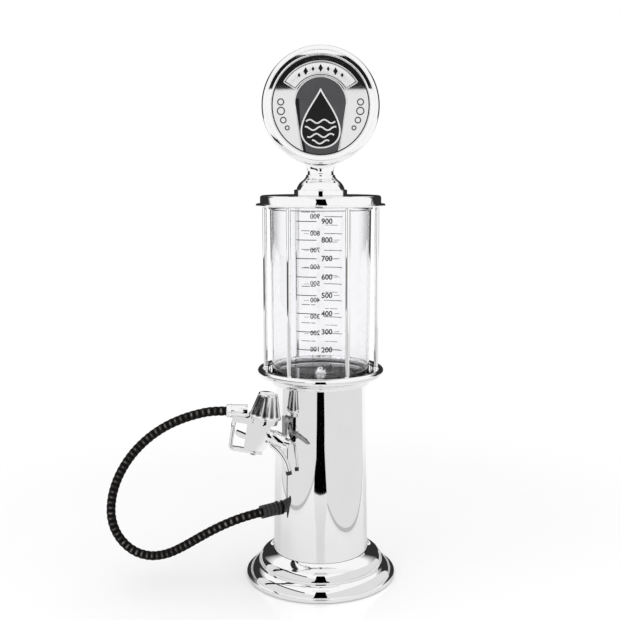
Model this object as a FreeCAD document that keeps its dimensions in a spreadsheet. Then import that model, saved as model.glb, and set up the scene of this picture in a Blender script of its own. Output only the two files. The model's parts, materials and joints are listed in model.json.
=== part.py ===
import FreeCAD, Part
import math
import os

import Sketcher
from FreeCAD import Placement, Rotation, Vector

# A table-top drinks dispenser shaped like an old petrol pump.  Everything is in millimetres.
# Origin: centre of the base's underside.  +Z is up, -Y is the front that the globe faces and
# the filling hose leaves towards -X.

DIMENSIONS = (
    ("total_height", 480.0, "floor to the top of the globe"),
    ("sheet_metal", 1.2, "thickness of the spun and pressed metal"),
    ("shaft_gap", 0.05, "clearance round a screw or stud"),
    # base
    ("base_radius", 69.0, "outer edge of the foot rim"),
    ("rim_bottom", 1.0, "foot rim above the floor"),
    ("rim_top", 4.0, "top of the foot rim"),
    ("skirt_radius", 66.0, "lower dome where it rises from the rim"),
    ("step_radius", 58.5, "lower dome at the joint with the upper dome"),
    ("step_level", 12.2, "height of that joint"),
    ("dome_bulge", 12.0, "rounding of the lower dome"),
    ("collar_radius", 57.4, "upper dome at its foot"),
    ("shoulder_radius", 54.0, "upper dome at its shoulder"),
    ("shoulder_level", 20.7, "height of that shoulder"),
    ("lip_level", 26.0, "top of the upper dome, at the column"),
    ("collar_bulge", 11.0, "rounding of the upper dome"),
    ("pad_thickness", 2.0, "soft pad under the base"),
    ("pad_radius", 65.0, "radius of that pad and of the base plate"),
    ("plate_thickness", 2.0, "base plate"),
    ("foot_inner", 30.0, "bore of the column foot"),
    ("foot_flange", 45.6, "flange that the column stands on"),
    ("foot_top", 32.0, "top of the column foot"),
    ("foot_screws", 3, "screws through the base plate"),
    ("foot_screw_circle", 36.0, "radius of their circle"),
    ("foot_screw_radius", 2.0, "shank of a base screw"),
    # column
    ("column_bottom", 16.0, "lower end of the column tube"),
    ("column_top", 186.0, "upper end of the column tube"),
    ("column_foot_radius", 43.8, "column radius at its lower end"),
    ("column_head_radius", 40.5, "column radius at its upper end"),
    # ring that carries the canister
    ("ring_radius", 57.5, "outer edge of the ring and of the cap lip"),
    ("ring_round", 3.3, "half-round edge of the ring"),
    ("ring_middle", 193.3, "height of the middle of that edge"),
    ("ring_skirt", 3.0, "how far the ring reaches down round the column"),
    ("ring_skirt_radius", 44.6, "outside of that skirt"),
    ("ring_floor", 188.5, "top face of the ring's floor"),
    ("rod_seat", 195.0, "flat that the tie rods stand on"),
    ("recess_radius", 47.6, "recess that the canister stands in"),
    ("seat_radius", 53.0, "outer edge of the rods' flat"),
    # canister
    ("canister_bottom", 189.0, "underside of the canister"),
    ("canister_top", 341.7, "rim of the canister"),
    ("canister_foot_radius", 44.0, "canister radius at its foot"),
    ("canister_radius", 45.0, "canister radius under its rim"),
    ("canister_wall", 1.7, "clear plastic wall"),
    ("canister_floor", 2.5, "thickness of its floor"),
    ("canister_rim", 46.4, "radius of its rim"),
    # tie rods
    ("rod_count", 6, "tie rods round the canister"),
    ("rod_circle", 50.2, "radius of their circle"),
    ("rod_radius", 1.9, "tie rod"),
    ("rod_foot", 2.6, "collar at each end of a tie rod"),
    ("rod_foot_height", 1.8, "height of that collar"),
    ("rod_stud", 1.3, "threaded end of a tie rod"),
    ("rod_stud_length", 3.6, "length of that threaded end"),
    ("rod_start", 27.0, "first rod, in degrees from the front towards +X"),
    ("nut_height", 1.8, "small hexagon nut"),
    # top cap
    ("cap_bottom", 342.2, "underside of the cap"),
    ("cap_lip", 344.3, "top of the cap lip"),
    ("cap_top", 351.6, "flat top of the cap"),
    ("cap_radius", 53.8, "cap above its lip"),
    ("cap_round", 2.2, "rounding of the cap's top edge"),
    ("cap_plate", 2.0, "plate under the cap that clamps the canister"),
    ("cap_plate_bore", 24.0, "bore of that plate"),
    ("filler_radius", 16.6, "bore of the filler mouth"),
    ("filler_wall", 1.4, "wall of the filler collar"),
    ("filler_depth", 10.6, "length of the filler collar"),
    ("filler_flange", 21.0, "flange of the filler collar under the cap"),
    # drain
    ("drain_radius", 4.9, "drain fitting through the floors"),
    ("drain_bore", 3.0, "bore of the drain"),
    ("drain_barb", 3.7, "barbed tail for the drain tube"),
    ("drain_tail", 170.0, "lower end of the barbed tail"),
    ("drain_shoulder", 179.0, "top of the barbed tail"),
    ("drain_nut", 8.0, "nut under the ring's floor"),
    ("strainer_radius", 4.6, "domed strainer on the canister floor"),
    ("strainer_height", 5.0, "height of that strainer"),
    ("tube_radius", 5.2, "outside of the drain tube"),
    # hose and gland
    ("gland_angle", 60.0, "hose exit, in degrees from the front towards -X"),
    ("gland_dip", 3.0, "how far the gland points below level, in degrees"),
    ("gland_level", 70.3, "height of the gland at the column's face"),
    ("gland_radius", 5.9, "ribbed sleeve of the gland"),
    ("gland_end", 61.5, "outer end of the gland, from the column's axis"),
    ("gland_seat", 44.3, "inner face of the gland's flange, from the axis"),
    ("gland_neck", 4.2, "gland through the column wall"),
    ("gland_inside", 34.0, "inner end of the gland, from the axis"),
    ("hose_diameter", 8.2, "ribbed filling hose"),
    # nozzle
    ("nozzle_x", -56.0, "middle of the nozzle body"),
    ("nozzle_y", -40.0, "middle of the nozzle body"),
    ("nozzle_z", 150.0, "middle of the nozzle body"),
    ("nozzle_pitch", 9.0, "nose-down tilt of the nozzle, in degrees"),
    ("slab_back", 8.5, "body behind its middle"),
    ("slab_front", 12.4, "body in front of its middle"),
    ("slab_top", 9.0, "body above its middle"),
    ("slab_bottom", 19.4, "body below its middle"),
    ("slab_width", 9.6, "width of the body"),
    ("valve_x", 5.5, "valve axis in front of the middle"),
    ("chamber_radius", 5.0, "valve chamber"),
    ("chamber_floor", 4.0, "bottom of the valve chamber"),
    ("seat_top", 10.6, "face that the bonnet screws down on"),
    ("bonnet_radius", 14.4, "foot of the fluted bonnet"),
    ("bonnet_head", 8.4, "head of the fluted bonnet"),
    ("bonnet_height", 21.8, "height of the fluted bonnet"),
    ("flute_count", 12, "flutes round the bonnet"),
    ("flute_radius", 2.3, "radius of a flute"),
    ("handle_x", -9.8, "front end of the handle tube"),
    ("handle_z", 13.8, "axis of the handle tube at that end"),
    ("inlet_radius", 2.6, "bore of the handle tube"),
    ("elbow_height", 5.4, "block that joins the handle tube to the body"),
    ("handle_radius", 5.6, "tube between the hose and the body"),
    ("ferrule_end", -82.0, "hose end of the crimped ferrule"),
    ("ferrule_length", 4.4, "crimped ferrule"),
    ("ferrule_radius", 6.1, "crimped ferrule"),
    ("guard_back", 22.4, "outer face of the guard behind the middle"),
    ("guard_strip", 3.8, "thickness of the guard"),
    ("guard_width", 7.0, "width of the guard"),
    ("guard_round", 5.0, "outer corner of the guard"),
    ("guard_top", 3.0, "where the guard meets its lug"),
    ("nose_x", 8.0, "root of the nose collar"),
    ("nose_z", -4.0, "root of the nose collar"),
    ("nose_pitch", 15.0, "extra tilt of the nose, in degrees"),
    ("nose_radius", 6.5, "nose collar"),
    ("boss_length", 6.4, "boss on the body that the nose collar screws on to"),
    ("nose_length", 17.6, "nose collar up to its neck"),
    ("neck_radius", 3.1, "neck that rests in the cradle"),
    ("neck_length", 4.4, "length of that neck"),
    ("nose_flange", 4.0, "flange in front of the neck"),
    ("nose_end", 24.0, "front of the nose from its root"),
    ("spout_radius", 2.4, "bent spout tube"),
    ("spout_bore", 1.6, "bore of the spout"),
    ("spout_bend", 36.0, "bend radius of the spout"),
    ("spout_start", 30.0, "tilt where the spout leaves, in degrees"),
    ("spout_turn", 42.0, "how far the spout turns down, in degrees"),
    ("spout_x", 17.2, "where the spout leaves the nose"),
    ("spout_z", -14.2, "where the spout leaves the nose"),
    ("tip_length", 3.4, "dark outlet ring on the spout"),
    # trigger and valve
    ("pivot_x", 10.4, "trigger pin in front of the middle"),
    ("pivot_z", -9.5, "trigger pin below the middle"),
    ("pin_radius", 1.2, "trigger pin"),
    ("trigger_thick", 2.6, "thickness of the trigger"),
    ("trigger_width", 5.4, "width of the trigger"),
    ("slot_width", 6.2, "slot in the body that the trigger works in"),
    ("slot_height", 12.0, "height of that slot"),
    ("trigger_curl", 12.0, "curve of the trigger's finger pad"),
    ("trigger_reach", 16.6, "free end of the trigger behind the middle"),
    ("stem_radius", 1.4, "valve stem"),
    ("stem_bottom", -7.4, "lower end of the valve stem"),
    ("stem_top", 16.0, "upper end of the valve stem"),
    ("valve_lift_face", 6.2, "underside of the valve head"),
    ("spring_wire", 0.45, "radius of the spring wire"),
    ("spring_radius", 2.6, "coil radius of the valve spring"),
    ("spring_pitch", 3.0, "pitch of the valve spring"),
    ("spring_turns", 6, "turns of the valve spring"),
    ("spring_gap", 0.4, "free play between the spring and the stem's collar"),
    # cradle
    ("cradle_angle", 43.0, "cradle, in degrees from the front towards -X"),
    ("cradle_level", 146.5, "middle of the cradle plate"),
    ("cradle_half_height", 11.0, "half the height of the cradle plate"),
    ("cradle_inner", 41.6, "inner face of the cradle plate"),
    ("cradle_outer", 43.6, "outer face of the cradle plate"),
    ("cradle_spread", 9.0, "half the cradle plate, in degrees"),
    ("lift_angle", 22.0, "how steeply the cradle opens, in degrees"),
    ("tail_gap", 0.2, "clearance of the cradle plate's tail behind it"),
    ("tail_step", 0.4, "tail's outer face behind the plate's"),
    ("fork_gap", 3.5, "half the cradle's opening"),
    ("fork_thick", 2.8, "thickness of the cradle fork"),
    ("fork_radius", 5.4, "outside of the cradle fork"),
    ("fork_reach", 5.0, "length of the cradle's prongs"),
    ("arm_radius", 1.4, "arm between the fork and the cradle plate"),
    ("cradle_screw", 1.2, "shank of a cradle screw"),
    # stopper and globe
    ("stopper_gap", 0.1, "air between the bell and the cap"),
    ("plug_radius", 15.9, "plug that hangs in the filler mouth"),
    ("plug_depth", 9.0, "length of that plug"),
    ("seal_radius", 1.2, "section of the plug's ring seal"),
    ("bell_flange", 23.6, "flange of the bell"),
    ("bell_flange_top", 356.6, "top of that flange"),
    ("bell_radius", 21.4, "bell above its flange"),
    ("bell_waist", 16.6, "bell where its curve turns"),
    ("bell_waist_level", 364.1, "height of that turn"),
    ("bell_ledge", 12.9, "ledge at the top of the bell"),
    ("bell_ledge_level", 368.2, "height of that ledge"),
    ("neck_waist", 11.3, "narrowest part of the stem"),
    ("neck_waist_level", 372.6, "height of that part"),
    ("saddle_radius", 15.0, "stem where it meets the globe"),
    ("saddle_level", 381.0, "top of the stem before the globe's curve is cut in it"),
    ("globe_radius", 51.2, "outside of the globe"),
    ("globe_half", 9.0, "half the width of the globe's rim band"),
    ("bezel_depth", 7.0, "depth of a bezel beyond the rim band"),
    ("bezel_crown", 47.0, "bezel at its front edge"),
    ("bezel_bore", 42.6, "opening of a bezel"),
    ("face_depth", 4.0, "face plate behind the bezel's front edge"),
    ("face_thickness", 1.2, "face plate"),
    ("stud_radius", 2.5, "stud that holds the globe"),
)

# Edges of the cradle plate's tail seen from the front, as (x, z): the upper one runs down from the
# plate to the tip, and the lower one runs back.
CRADLE_TAIL = (
    ((-28.5, 149.5), (-22.0, 144.8), (-16.0, 141.3), (-11.2, 137.4), (-8.4, 132.8)),
    ((-9.2, 132.4), (-12.6, 135.6), (-17.2, 138.6), (-23.0, 141.6), (-28.5, 145.6)),
)

doc = FreeCAD.newDocument("drinks_pump")
sheet = doc.addObject("Spreadsheet::Sheet", "Sizes")
for row, (name, number, meaning) in enumerate(DIMENSIONS, start=1):
    sheet.set(f"A{row}", name)
    sheet.set(f"B{row}", str(number))
    sheet.set(f"C{row}", meaning)
    sheet.setAlias(f"B{row}", name)
doc.recompute()


class Size:
    """A number together with the sheet expression that gives it."""

    def __init__(self, value, text):
        self.value = float(value)
        self.text = text

    def joined(self, other, sign, flipped=False):
        left, right = (size(other), self) if flipped else (self, size(other))
        text = f"({left.text} {sign} {right.text})"
        a, b = left.value, right.value
        value = {"+": a + b, "-": a - b, "*": a * b, "/": a / b if b else 0.0}[sign]
        return Size(value, text)

    def __add__(self, other):
        return self.joined(other, "+")

    def __radd__(self, other):
        return self.joined(other, "+", True)

    def __sub__(self, other):
        return self.joined(other, "-")

    def __rsub__(self, other):
        return self.joined(other, "-", True)

    def __mul__(self, other):
        return self.joined(other, "*")

    def __rmul__(self, other):
        return self.joined(other, "*", True)

    def __truediv__(self, other):
        return self.joined(other, "/")

    def __neg__(self):
        return 0.0 - self

    def __float__(self):
        return self.value


def size(number):
    """Any number as a Size."""
    if isinstance(number, Size):
        return number
    return Size(number, repr(float(number)))


class Sheet:
    """Reads the sheet's named cells as Sizes."""

    def __getattr__(self, name):
        return Size(sheet.get(name), f"Sizes.{name}")


d = Sheet()
parts = {}


def bind(thing, **sizes):
    """Tie properties of a feature to the sheet."""
    for name, number in sizes.items():
        thing.setExpression(name, size(number).text)


def new_body(label):
    """An empty sub-part."""
    body = doc.addObject("PartDesign::Body", label)
    body.Label = label
    parts[label] = body
    return body


def place(body, x=0.0, y=0.0, z=0.0):
    """Stand a sub-part at a point that the sheet gives."""
    for axis, number in (("x", x), ("y", y), ("z", z)):
        body.setExpression(f"Placement.Base.{axis}", size(number).text)
    return body


def seat(body, placement):
    """Give a tilted sub-part its placement."""
    body.Placement = placement
    return body


def origin_feature(body, role):
    """One of the body's own origin planes or axes."""
    return next(f for f in body.Origin.OriginFeatures if f.Role == role)


def new_sketch(body, name, plane):
    """An empty sketch on one of the body's own planes."""
    sketch = body.newObject("Sketcher::SketchObject", name)
    sketch.AttachmentSupport = [(origin_feature(body, plane), "")]
    sketch.MapMode = "FlatFace"
    return sketch


def pin_down(sketch, geometry, end, x, y):
    """Hold one end of a line or arc at a point that the sheet gives."""
    for kind, axis, number in (("DistanceX", -2, size(x)), ("DistanceY", -1, size(y))):
        if number.value == 0.0:
            sketch.addConstraint(Sketcher.Constraint("PointOnObject", geometry, end, axis))
            continue
        held = Sketcher.Constraint(kind, -1, 1, geometry, end, number.value)
        index = sketch.addConstraint(held)
        sketch.setExpression(f"Constraints[{index}]", number.text)


def arc_between(start, finish, radius):
    """The shorter arc from start to finish; a positive radius turns left."""
    chord = finish - start
    left = Vector(-chord.y, chord.x, 0).normalize()
    rise = math.sqrt(radius ** 2 - (chord.Length / 2) ** 2)
    centre = (start + finish) / 2 + left * math.copysign(rise, radius)
    first, last = (start, finish) if radius > 0 else (finish, start)
    angles = [math.atan2(p.y - centre.y, p.x - centre.x) for p in (first, last)]
    circle = Part.Circle(centre, Vector(0, 0, 1), abs(radius))
    return Part.ArcOfCircle(circle, *angles)


def draw(sketch, corners):
    """Draw a closed outline.  A corner is (x, y), or (x, y, r) when an arc of radius r arrives there."""
    points = [Vector(float(c[0]), float(c[1]), 0) for c in corners]
    ends = []
    for index, corner in enumerate(corners):
        start, finish = points[index - 1], points[index]
        if len(corner) == 2:
            geometry = sketch.addGeometry(Part.LineSegment(start, finish))
            ends.append((geometry, 1, 2))
            continue
        radius = size(corner[2])
        geometry = sketch.addGeometry(arc_between(start, finish, radius.value))
        held = Sketcher.Constraint("Radius", geometry, abs(radius.value))
        text = radius.text if radius.value > 0 else f"-({radius.text})"
        index_held = sketch.addConstraint(held)
        sketch.setExpression(f"Constraints[{index_held}]", text)
        ends.append((geometry, 1, 2) if radius.value > 0 else (geometry, 2, 1))
    for index, corner in enumerate(corners):
        geometry, _, finish_end = ends[index]
        after, start_end, _ = ends[(index + 1) % len(ends)]
        joint = Sketcher.Constraint("Coincident", geometry, finish_end, after, start_end)
        sketch.addConstraint(joint)
        pin_down(sketch, geometry, finish_end, corner[0], corner[1])


def lathe(label, corners, plane="XZ_Plane"):
    """A turned sub-part: the outline is (radius, height) and turns about the body's own axis."""
    body = new_body(label)
    sketch = new_sketch(body, f"{label}_outline", plane)
    draw(sketch, corners)
    turned = body.newObject("PartDesign::Revolution", f"{label}_turned")
    turned.Profile = sketch
    turned.ReferenceAxis = (sketch, ["V_Axis"])
    turned.Angle = 360
    return body


def washer(label, inner, outer, height):
    """A plain ring, or a disc when its bore is zero."""
    return lathe(label, ((inner, 0), (outer, 0), (outer, height), (inner, height)))


def pad(body, name, plane, corners, length, middle=False):
    """Extrude an outline from one of the body's planes."""
    sketch = new_sketch(body, f"{name}_outline", plane)
    draw(sketch, corners)
    feature = body.newObject("PartDesign::Pad", name)
    feature.Profile = sketch
    feature.SideType = "Symmetric" if middle else "One side"
    bind(feature, Length=length)
    return feature


def solid(body, kind, name, placement=None, **sizes):
    """Add or cut a primitive, such as an AdditiveCylinder, in a body."""
    feature = body.newObject(f"PartDesign::{kind}", name)
    bind(feature, **sizes)
    if placement is not None:
        feature.Placement = placement
    return feature


def round_pattern(body, name, originals, count):
    """Repeat features evenly round the body's own upright axis."""
    pattern = body.newObject("PartDesign::PolarPattern", name)
    pattern.Originals = originals
    pattern.Axis = (origin_feature(body, "Z_Axis"), [""])
    pattern.Angle = 360
    bind(pattern, Occurrences=count)
    body.Tip = pattern
    return pattern


def at(x, y, z, rotation=None):
    """A placement from plain numbers or Sizes."""
    return Placement(Vector(float(x), float(y), float(z)), rotation or Rotation())


def facing(direction):
    """The rotation that turns +Z to a direction."""
    return Rotation(Vector(0, 0, 1), direction)


def on_circle(radius, degrees, height=0.0):
    """A point round the upright axis; angles run from the front towards +X."""
    angle = math.radians(float(degrees))
    reach = float(radius)
    return Vector(reach * math.sin(angle), -reach * math.cos(angle), float(height))


# ---------------------------------------------------------------- base

def build_base():
    """Soft pad, plate, two spun domes and the plastic foot that the column stands on."""
    wall = d.sheet_metal
    washer("base_pad", 0, d.pad_radius, d.pad_thickness)

    plate = place(washer("base_plate", 0, d.pad_radius, d.plate_thickness), z=d.pad_thickness)
    head = d.foot_screw_radius * 2
    spot = at(d.foot_screw_circle, 0, 0)
    sink = solid(plate, "SubtractiveCone", "screw_sink", spot, Radius1=head + d.shaft_gap,
                 Radius2=d.foot_screw_radius + d.shaft_gap, Height=d.plate_thickness)
    round_pattern(plate, "screw_sinks", [sink], d.foot_screws)

    rim_inner = d.pad_radius + 0.4
    lathe("base_shell", (
        (rim_inner, d.rim_bottom),
        (d.base_radius, d.rim_bottom),
        (d.base_radius, d.rim_top - 0.8),
        (d.base_radius - 0.8, d.rim_top, 0.81),
        (d.skirt_radius, d.rim_top),
        (d.step_radius, d.step_level, d.dome_bulge),
        (d.step_radius - 6, d.step_level),
        (d.step_radius - 6, d.step_level - wall),
        (d.step_radius - wall, d.step_level - wall),
        (rim_inner, d.rim_top, -(d.dome_bulge - wall)),
    ))
    collar_foot = d.step_level + wall * 0.5
    lathe("base_collar", (
        (d.collar_radius - 2, d.step_level),
        (d.collar_radius, d.step_level),
        (d.collar_radius, collar_foot + 1.4),
        (d.shoulder_radius, d.shoulder_level, d.collar_bulge),
        (d.column_foot_radius + 0.2, d.lip_level, -(d.collar_bulge * 2)),
        (d.column_foot_radius + 0.2, d.lip_level - wall),
        (d.shoulder_radius - wall, d.shoulder_level - wall, d.collar_bulge * 2),
        (d.collar_radius - 2, collar_foot + 1, -d.collar_bulge),
    ))

    foot_bottom = d.pad_thickness + d.plate_thickness
    inside = d.column_foot_radius - d.sheet_metal - 0.4
    foot = lathe("column_foot", (
        (d.foot_inner, foot_bottom),
        (d.foot_flange, foot_bottom),
        (d.foot_flange, d.column_bottom),
        (inside, d.column_bottom),
        (inside - 0.4, d.foot_top),
        (d.foot_inner, d.foot_top),
    ))
    depth = d.column_bottom + 4 - foot_bottom
    hole = solid(foot, "SubtractiveCylinder", "screw_hole", at(d.foot_screw_circle, 0, foot_bottom),
                 Radius=d.foot_screw_radius + d.shaft_gap, Height=depth)
    round_pattern(foot, "screw_holes", [hole], d.foot_screws)

    screws = new_body("base_screws")
    screws.AllowCompound = True
    tip = solid(screws, "AdditiveCone", "countersunk_head", at(d.foot_screw_circle, 0, 0),
                Radius1=head, Radius2=d.foot_screw_radius, Height=d.plate_thickness)
    shank = solid(screws, "AdditiveCylinder", "shank", at(d.foot_screw_circle, 0, d.plate_thickness),
                  Radius=d.foot_screw_radius, Height=depth - 1)
    round_pattern(screws, "screws", [tip, shank], d.foot_screws)
    place(screws, z=d.pad_thickness)


# ---------------------------------------------------------------- column and gland

GLAND_OUT = on_circle(1.0, -float(d.gland_angle))
GLAND_AXIS = (GLAND_OUT - Vector(0, 0, math.tan(math.radians(float(d.gland_dip))))).normalize()


def gland_point(from_axis):
    """A point on the gland's axis, by its distance from the column's axis."""
    slope = math.tan(math.radians(float(d.gland_dip)))
    beyond = float(from_axis) - float(d.column_foot_radius)
    return GLAND_OUT * float(from_axis) + Vector(0, 0, float(d.gland_level) - beyond * slope)


def build_column():
    """The tapered tube, with holes for the hose gland and the cradle's two screws."""
    wall = d.sheet_metal
    tall = d.column_top - d.column_bottom
    tube = lathe("column_tube", (
        (d.column_foot_radius - wall, 0),
        (d.column_foot_radius, 0),
        (d.column_head_radius, tall),
        (d.column_head_radius - wall, tall),
    ))
    place(tube, z=d.column_bottom)
    down = Vector(0, 0, -float(d.column_bottom))
    inner = gland_point(d.gland_inside) + down
    solid(tube, "SubtractiveCylinder", "gland_hole", Placement(inner, facing(GLAND_AXIS)),
          Radius=d.gland_neck + 0.4, Height=d.gland_seat - d.gland_inside + 4)
    for number, height in enumerate(cradle_screw_levels(), start=1):
        start = on_circle(30, -float(d.cradle_angle), height) + down
        solid(tube, "SubtractiveCylinder", f"cradle_hole_{number}",
              Placement(start, facing(on_circle(1, -float(d.cradle_angle)))),
              Radius=d.cradle_screw + d.shaft_gap, Height=d.column_foot_radius - 26)


def build_gland():
    """Ribbed strain relief that the filling hose leaves through, with its nut inside the column."""
    length = (d.gland_end - d.gland_inside) / math.cos(math.radians(float(d.gland_dip)))
    seat_at = d.gland_seat - d.gland_inside
    flange = d.gland_radius + 0.6
    corners = [(d.drain_bore, 0), (d.gland_neck, 0), (d.gland_neck, seat_at), (flange, seat_at),
               (flange, seat_at + 1.6)]
    ribs = 4
    first = seat_at + 1.6
    pitch = (length - first) / ribs
    for rib in range(ribs):
        foot = first + pitch * rib
        corners += [(d.gland_radius - 0.7, foot), (d.gland_radius - 0.7, foot + pitch * 0.35),
                    (d.gland_radius, foot + pitch * 0.35), (d.gland_radius, foot + pitch)]
    corners += [(d.drain_bore, length)]
    gland = lathe("hose_gland", corners)
    seat(gland, Placement(gland_point(d.gland_inside), facing(GLAND_AXIS)))

    nut = new_body("gland_nut")
    solid(nut, "AdditivePrism", "hexagon", Polygon=6, Circumradius=d.gland_radius + 1.4, Height=2.6)
    solid(nut, "SubtractiveCylinder", "bore", Radius=d.gland_neck + d.shaft_gap, Height=2.6)
    seat(nut, Placement(gland_point(d.gland_inside + 2.0), facing(GLAND_AXIS)))


# ---------------------------------------------------------------- ring, canister, rods and cap

def build_ring():
    """Half-round ring on top of the column, with a recess for the canister and stud holes."""
    skirt_bottom = d.column_top - d.ring_skirt
    skirt_bore = d.column_head_radius + 0.3
    round_centre = d.ring_radius - d.ring_round
    ring = lathe("canister_ring", (
        (d.drain_radius + 0.1, d.column_top),
        (skirt_bore, d.column_top),
        (skirt_bore, skirt_bottom),
        (d.ring_skirt_radius, skirt_bottom),
        (d.ring_skirt_radius + 1, skirt_bottom + 1, 1.01),
        (round_centre - 2.4, d.ring_middle - d.ring_round - 0.8, -9),
        (round_centre, d.ring_middle - d.ring_round),
        (d.ring_radius, d.ring_middle, d.ring_round),
        (round_centre, d.ring_middle + d.ring_round, d.ring_round),
        (d.seat_radius + 0.6, d.ring_middle + d.ring_round),
        (d.seat_radius, d.rod_seat),
        (d.recess_radius, d.rod_seat),
        (d.recess_radius, d.ring_floor),
        (d.drain_radius + 0.1, d.ring_floor),
    ))
    spot = on_circle(d.rod_circle, d.rod_start, d.rod_seat - d.rod_stud_length)
    hole = solid(ring, "SubtractiveCylinder", "stud_hole", Placement(spot, Rotation()),
                 Radius=d.rod_stud + d.shaft_gap, Height=d.rod_stud_length)
    round_pattern(ring, "stud_holes", [hole], d.rod_count)


def build_canister():
    """Clear measuring canister between two soft rings."""
    bottom, top = d.canister_bottom, d.canister_top
    foot, wall = d.canister_foot_radius, d.canister_wall
    lathe("canister", (
        (d.drain_radius + 0.1, bottom),
        (foot - 1.5, bottom),
        (foot, bottom + 1.5, 1.51),
        (d.canister_radius, top - 3),
        (d.canister_rim, top - 1.8),
        (d.canister_rim, top),
        (d.canister_radius - wall, top),
        (foot - wall, bottom + d.canister_floor + 1),
        (foot - wall - 1, bottom + d.canister_floor, -1.01),
        (d.drain_radius + 0.1, bottom + d.canister_floor),
    ))
    gasket = washer("canister_gasket", foot - 14, foot - 2, bottom - d.ring_floor)
    place(gasket, z=d.ring_floor)
    top_seal = washer("canister_top_seal", d.canister_radius - wall, d.canister_rim, d.cap_bottom - top)
    place(top_seal, z=top)


def build_rods():
    """Tie rods with a collar at each end, and the nuts that pull the cap plate down on them."""
    span = d.cap_bottom - d.rod_seat
    for number in range(int(float(d.rod_count))):
        rod = lathe(f"tie_rod_{number + 1}", (
            (0, -d.rod_stud_length),
            (d.rod_stud, -d.rod_stud_length),
            (d.rod_stud, 0),
            (d.rod_foot, 0),
            (d.rod_radius, d.rod_foot_height, d.rod_foot_height * 1.2),
            (d.rod_radius, span - d.rod_foot_height),
            (d.rod_foot, span, d.rod_foot_height * 1.2),
            (d.rod_stud, span),
            (d.rod_stud, span + d.rod_stud_length),
            (0, span + d.rod_stud_length),
        ))
        angle = float(d.rod_start) + number * 360.0 / float(d.rod_count)
        seat(rod, Placement(on_circle(d.rod_circle, angle, d.rod_seat), Rotation()))

    nuts = new_body("rod_nuts")
    nuts.AllowCompound = True
    spot = Placement(on_circle(d.rod_circle, d.rod_start), Rotation())
    nut = solid(nuts, "AdditivePrism", "nut", spot, Polygon=6, Circumradius=2.3, Height=d.nut_height)
    bore = solid(nuts, "SubtractiveCylinder", "nut_bore", spot, Radius=d.rod_stud + d.shaft_gap,
                 Height=d.nut_height)
    round_pattern(nuts, "nuts", [nut, bore], d.rod_count)
    place(nuts, z=d.cap_bottom + d.cap_plate)


def build_cap():
    """Spun cap, the plate that it hides, and the filler collar in its middle."""
    plate = washer("cap_plate", d.cap_plate_bore, d.cap_radius - d.sheet_metal - 0.1, d.cap_plate)
    spot = Placement(on_circle(d.rod_circle, d.rod_start), Rotation())
    hole = solid(plate, "SubtractiveCylinder", "stud_hole", spot, Radius=d.rod_stud + d.shaft_gap,
                 Height=d.cap_plate)
    round_pattern(plate, "stud_holes", [hole], d.rod_count)
    place(plate, z=d.cap_bottom)

    wall = d.sheet_metal
    inner = d.cap_radius - wall
    mouth = d.filler_radius + d.filler_wall
    lip_round = 0.9
    lathe("top_cap", (
        (inner, d.cap_bottom),
        (d.ring_radius - lip_round, d.cap_bottom),
        (d.ring_radius, d.cap_bottom + lip_round, lip_round * 1.01),
        (d.ring_radius, d.cap_lip - lip_round),
        (d.ring_radius - lip_round, d.cap_lip, lip_round * 1.01),
        (d.cap_radius, d.cap_lip),
        (d.cap_radius, d.cap_top - d.cap_round),
        (d.cap_radius - d.cap_round, d.cap_top, d.cap_round * 1.01),
        (mouth, d.cap_top),
        (mouth, d.cap_top - wall),
        (inner - 1, d.cap_top - wall),
        (inner, d.cap_top - wall - 1, -1.01),
    ))
    under = d.cap_top - wall
    lathe("filler_collar", (
        (d.filler_radius, d.cap_top - d.filler_depth),
        (mouth, d.cap_top - d.filler_depth),
        (mouth, under - 1.4),
        (d.filler_flange, under - 1.4),
        (d.filler_flange, under),
        (mouth, under),
        (mouth, d.cap_top),
        (d.filler_radius, d.cap_top),
    ))


def build_drain():
    """Strainer, threaded fitting and nut in the middle of the canister's floor."""
    floor = d.canister_bottom + d.canister_floor
    bore, barb = d.drain_bore - 0.6, d.drain_barb
    lathe("drain_fitting", (
        (bore, d.drain_tail),
        (barb, d.drain_tail),
        (barb, d.drain_shoulder),
        (d.drain_radius, d.drain_shoulder),
        (d.drain_radius, floor),
        (bore, floor),
    ))
    nut = new_body("drain_nut")
    solid(nut, "AdditivePrism", "hexagon", Polygon=6, Circumradius=d.drain_nut, Height=3.4)
    solid(nut, "SubtractiveCylinder", "bore", Radius=d.drain_radius + d.shaft_gap, Height=3.4)
    place(nut, z=d.column_top - 3.4)
    strainer = lathe("drain_strainer", (
        (bore, 0),
        (d.strainer_radius + 1.6, 0),
        (d.strainer_radius + 1.6, 1),
        (d.strainer_radius, 1.2),
        (1, d.strainer_height, d.strainer_radius * 1.05),
        (0, d.strainer_height),
        (0, d.strainer_height - 1.4),
        (bore, 1.6),
    ))
    place(strainer, z=floor)


# ---------------------------------------------------------------- hose and drain tube

NOZZLE = at(d.nozzle_x, d.nozzle_y, d.nozzle_z, Rotation(Vector(0, 1, 0), float(d.nozzle_pitch)))


def nozzle_place(x=0.0, y=0.0, z=0.0, rotation=None):
    """A placement given in the nozzle's own tilted frame."""
    return NOZZLE.multiply(at(x, y, z, rotation))


HANDLE_Z = NOZZLE.multVec(Vector(float(d.handle_x), 0, float(d.handle_z))).z
HOSE_END = Vector(float(d.ferrule_end) - 0.3, float(d.nozzle_y), HANDLE_Z)


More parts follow.
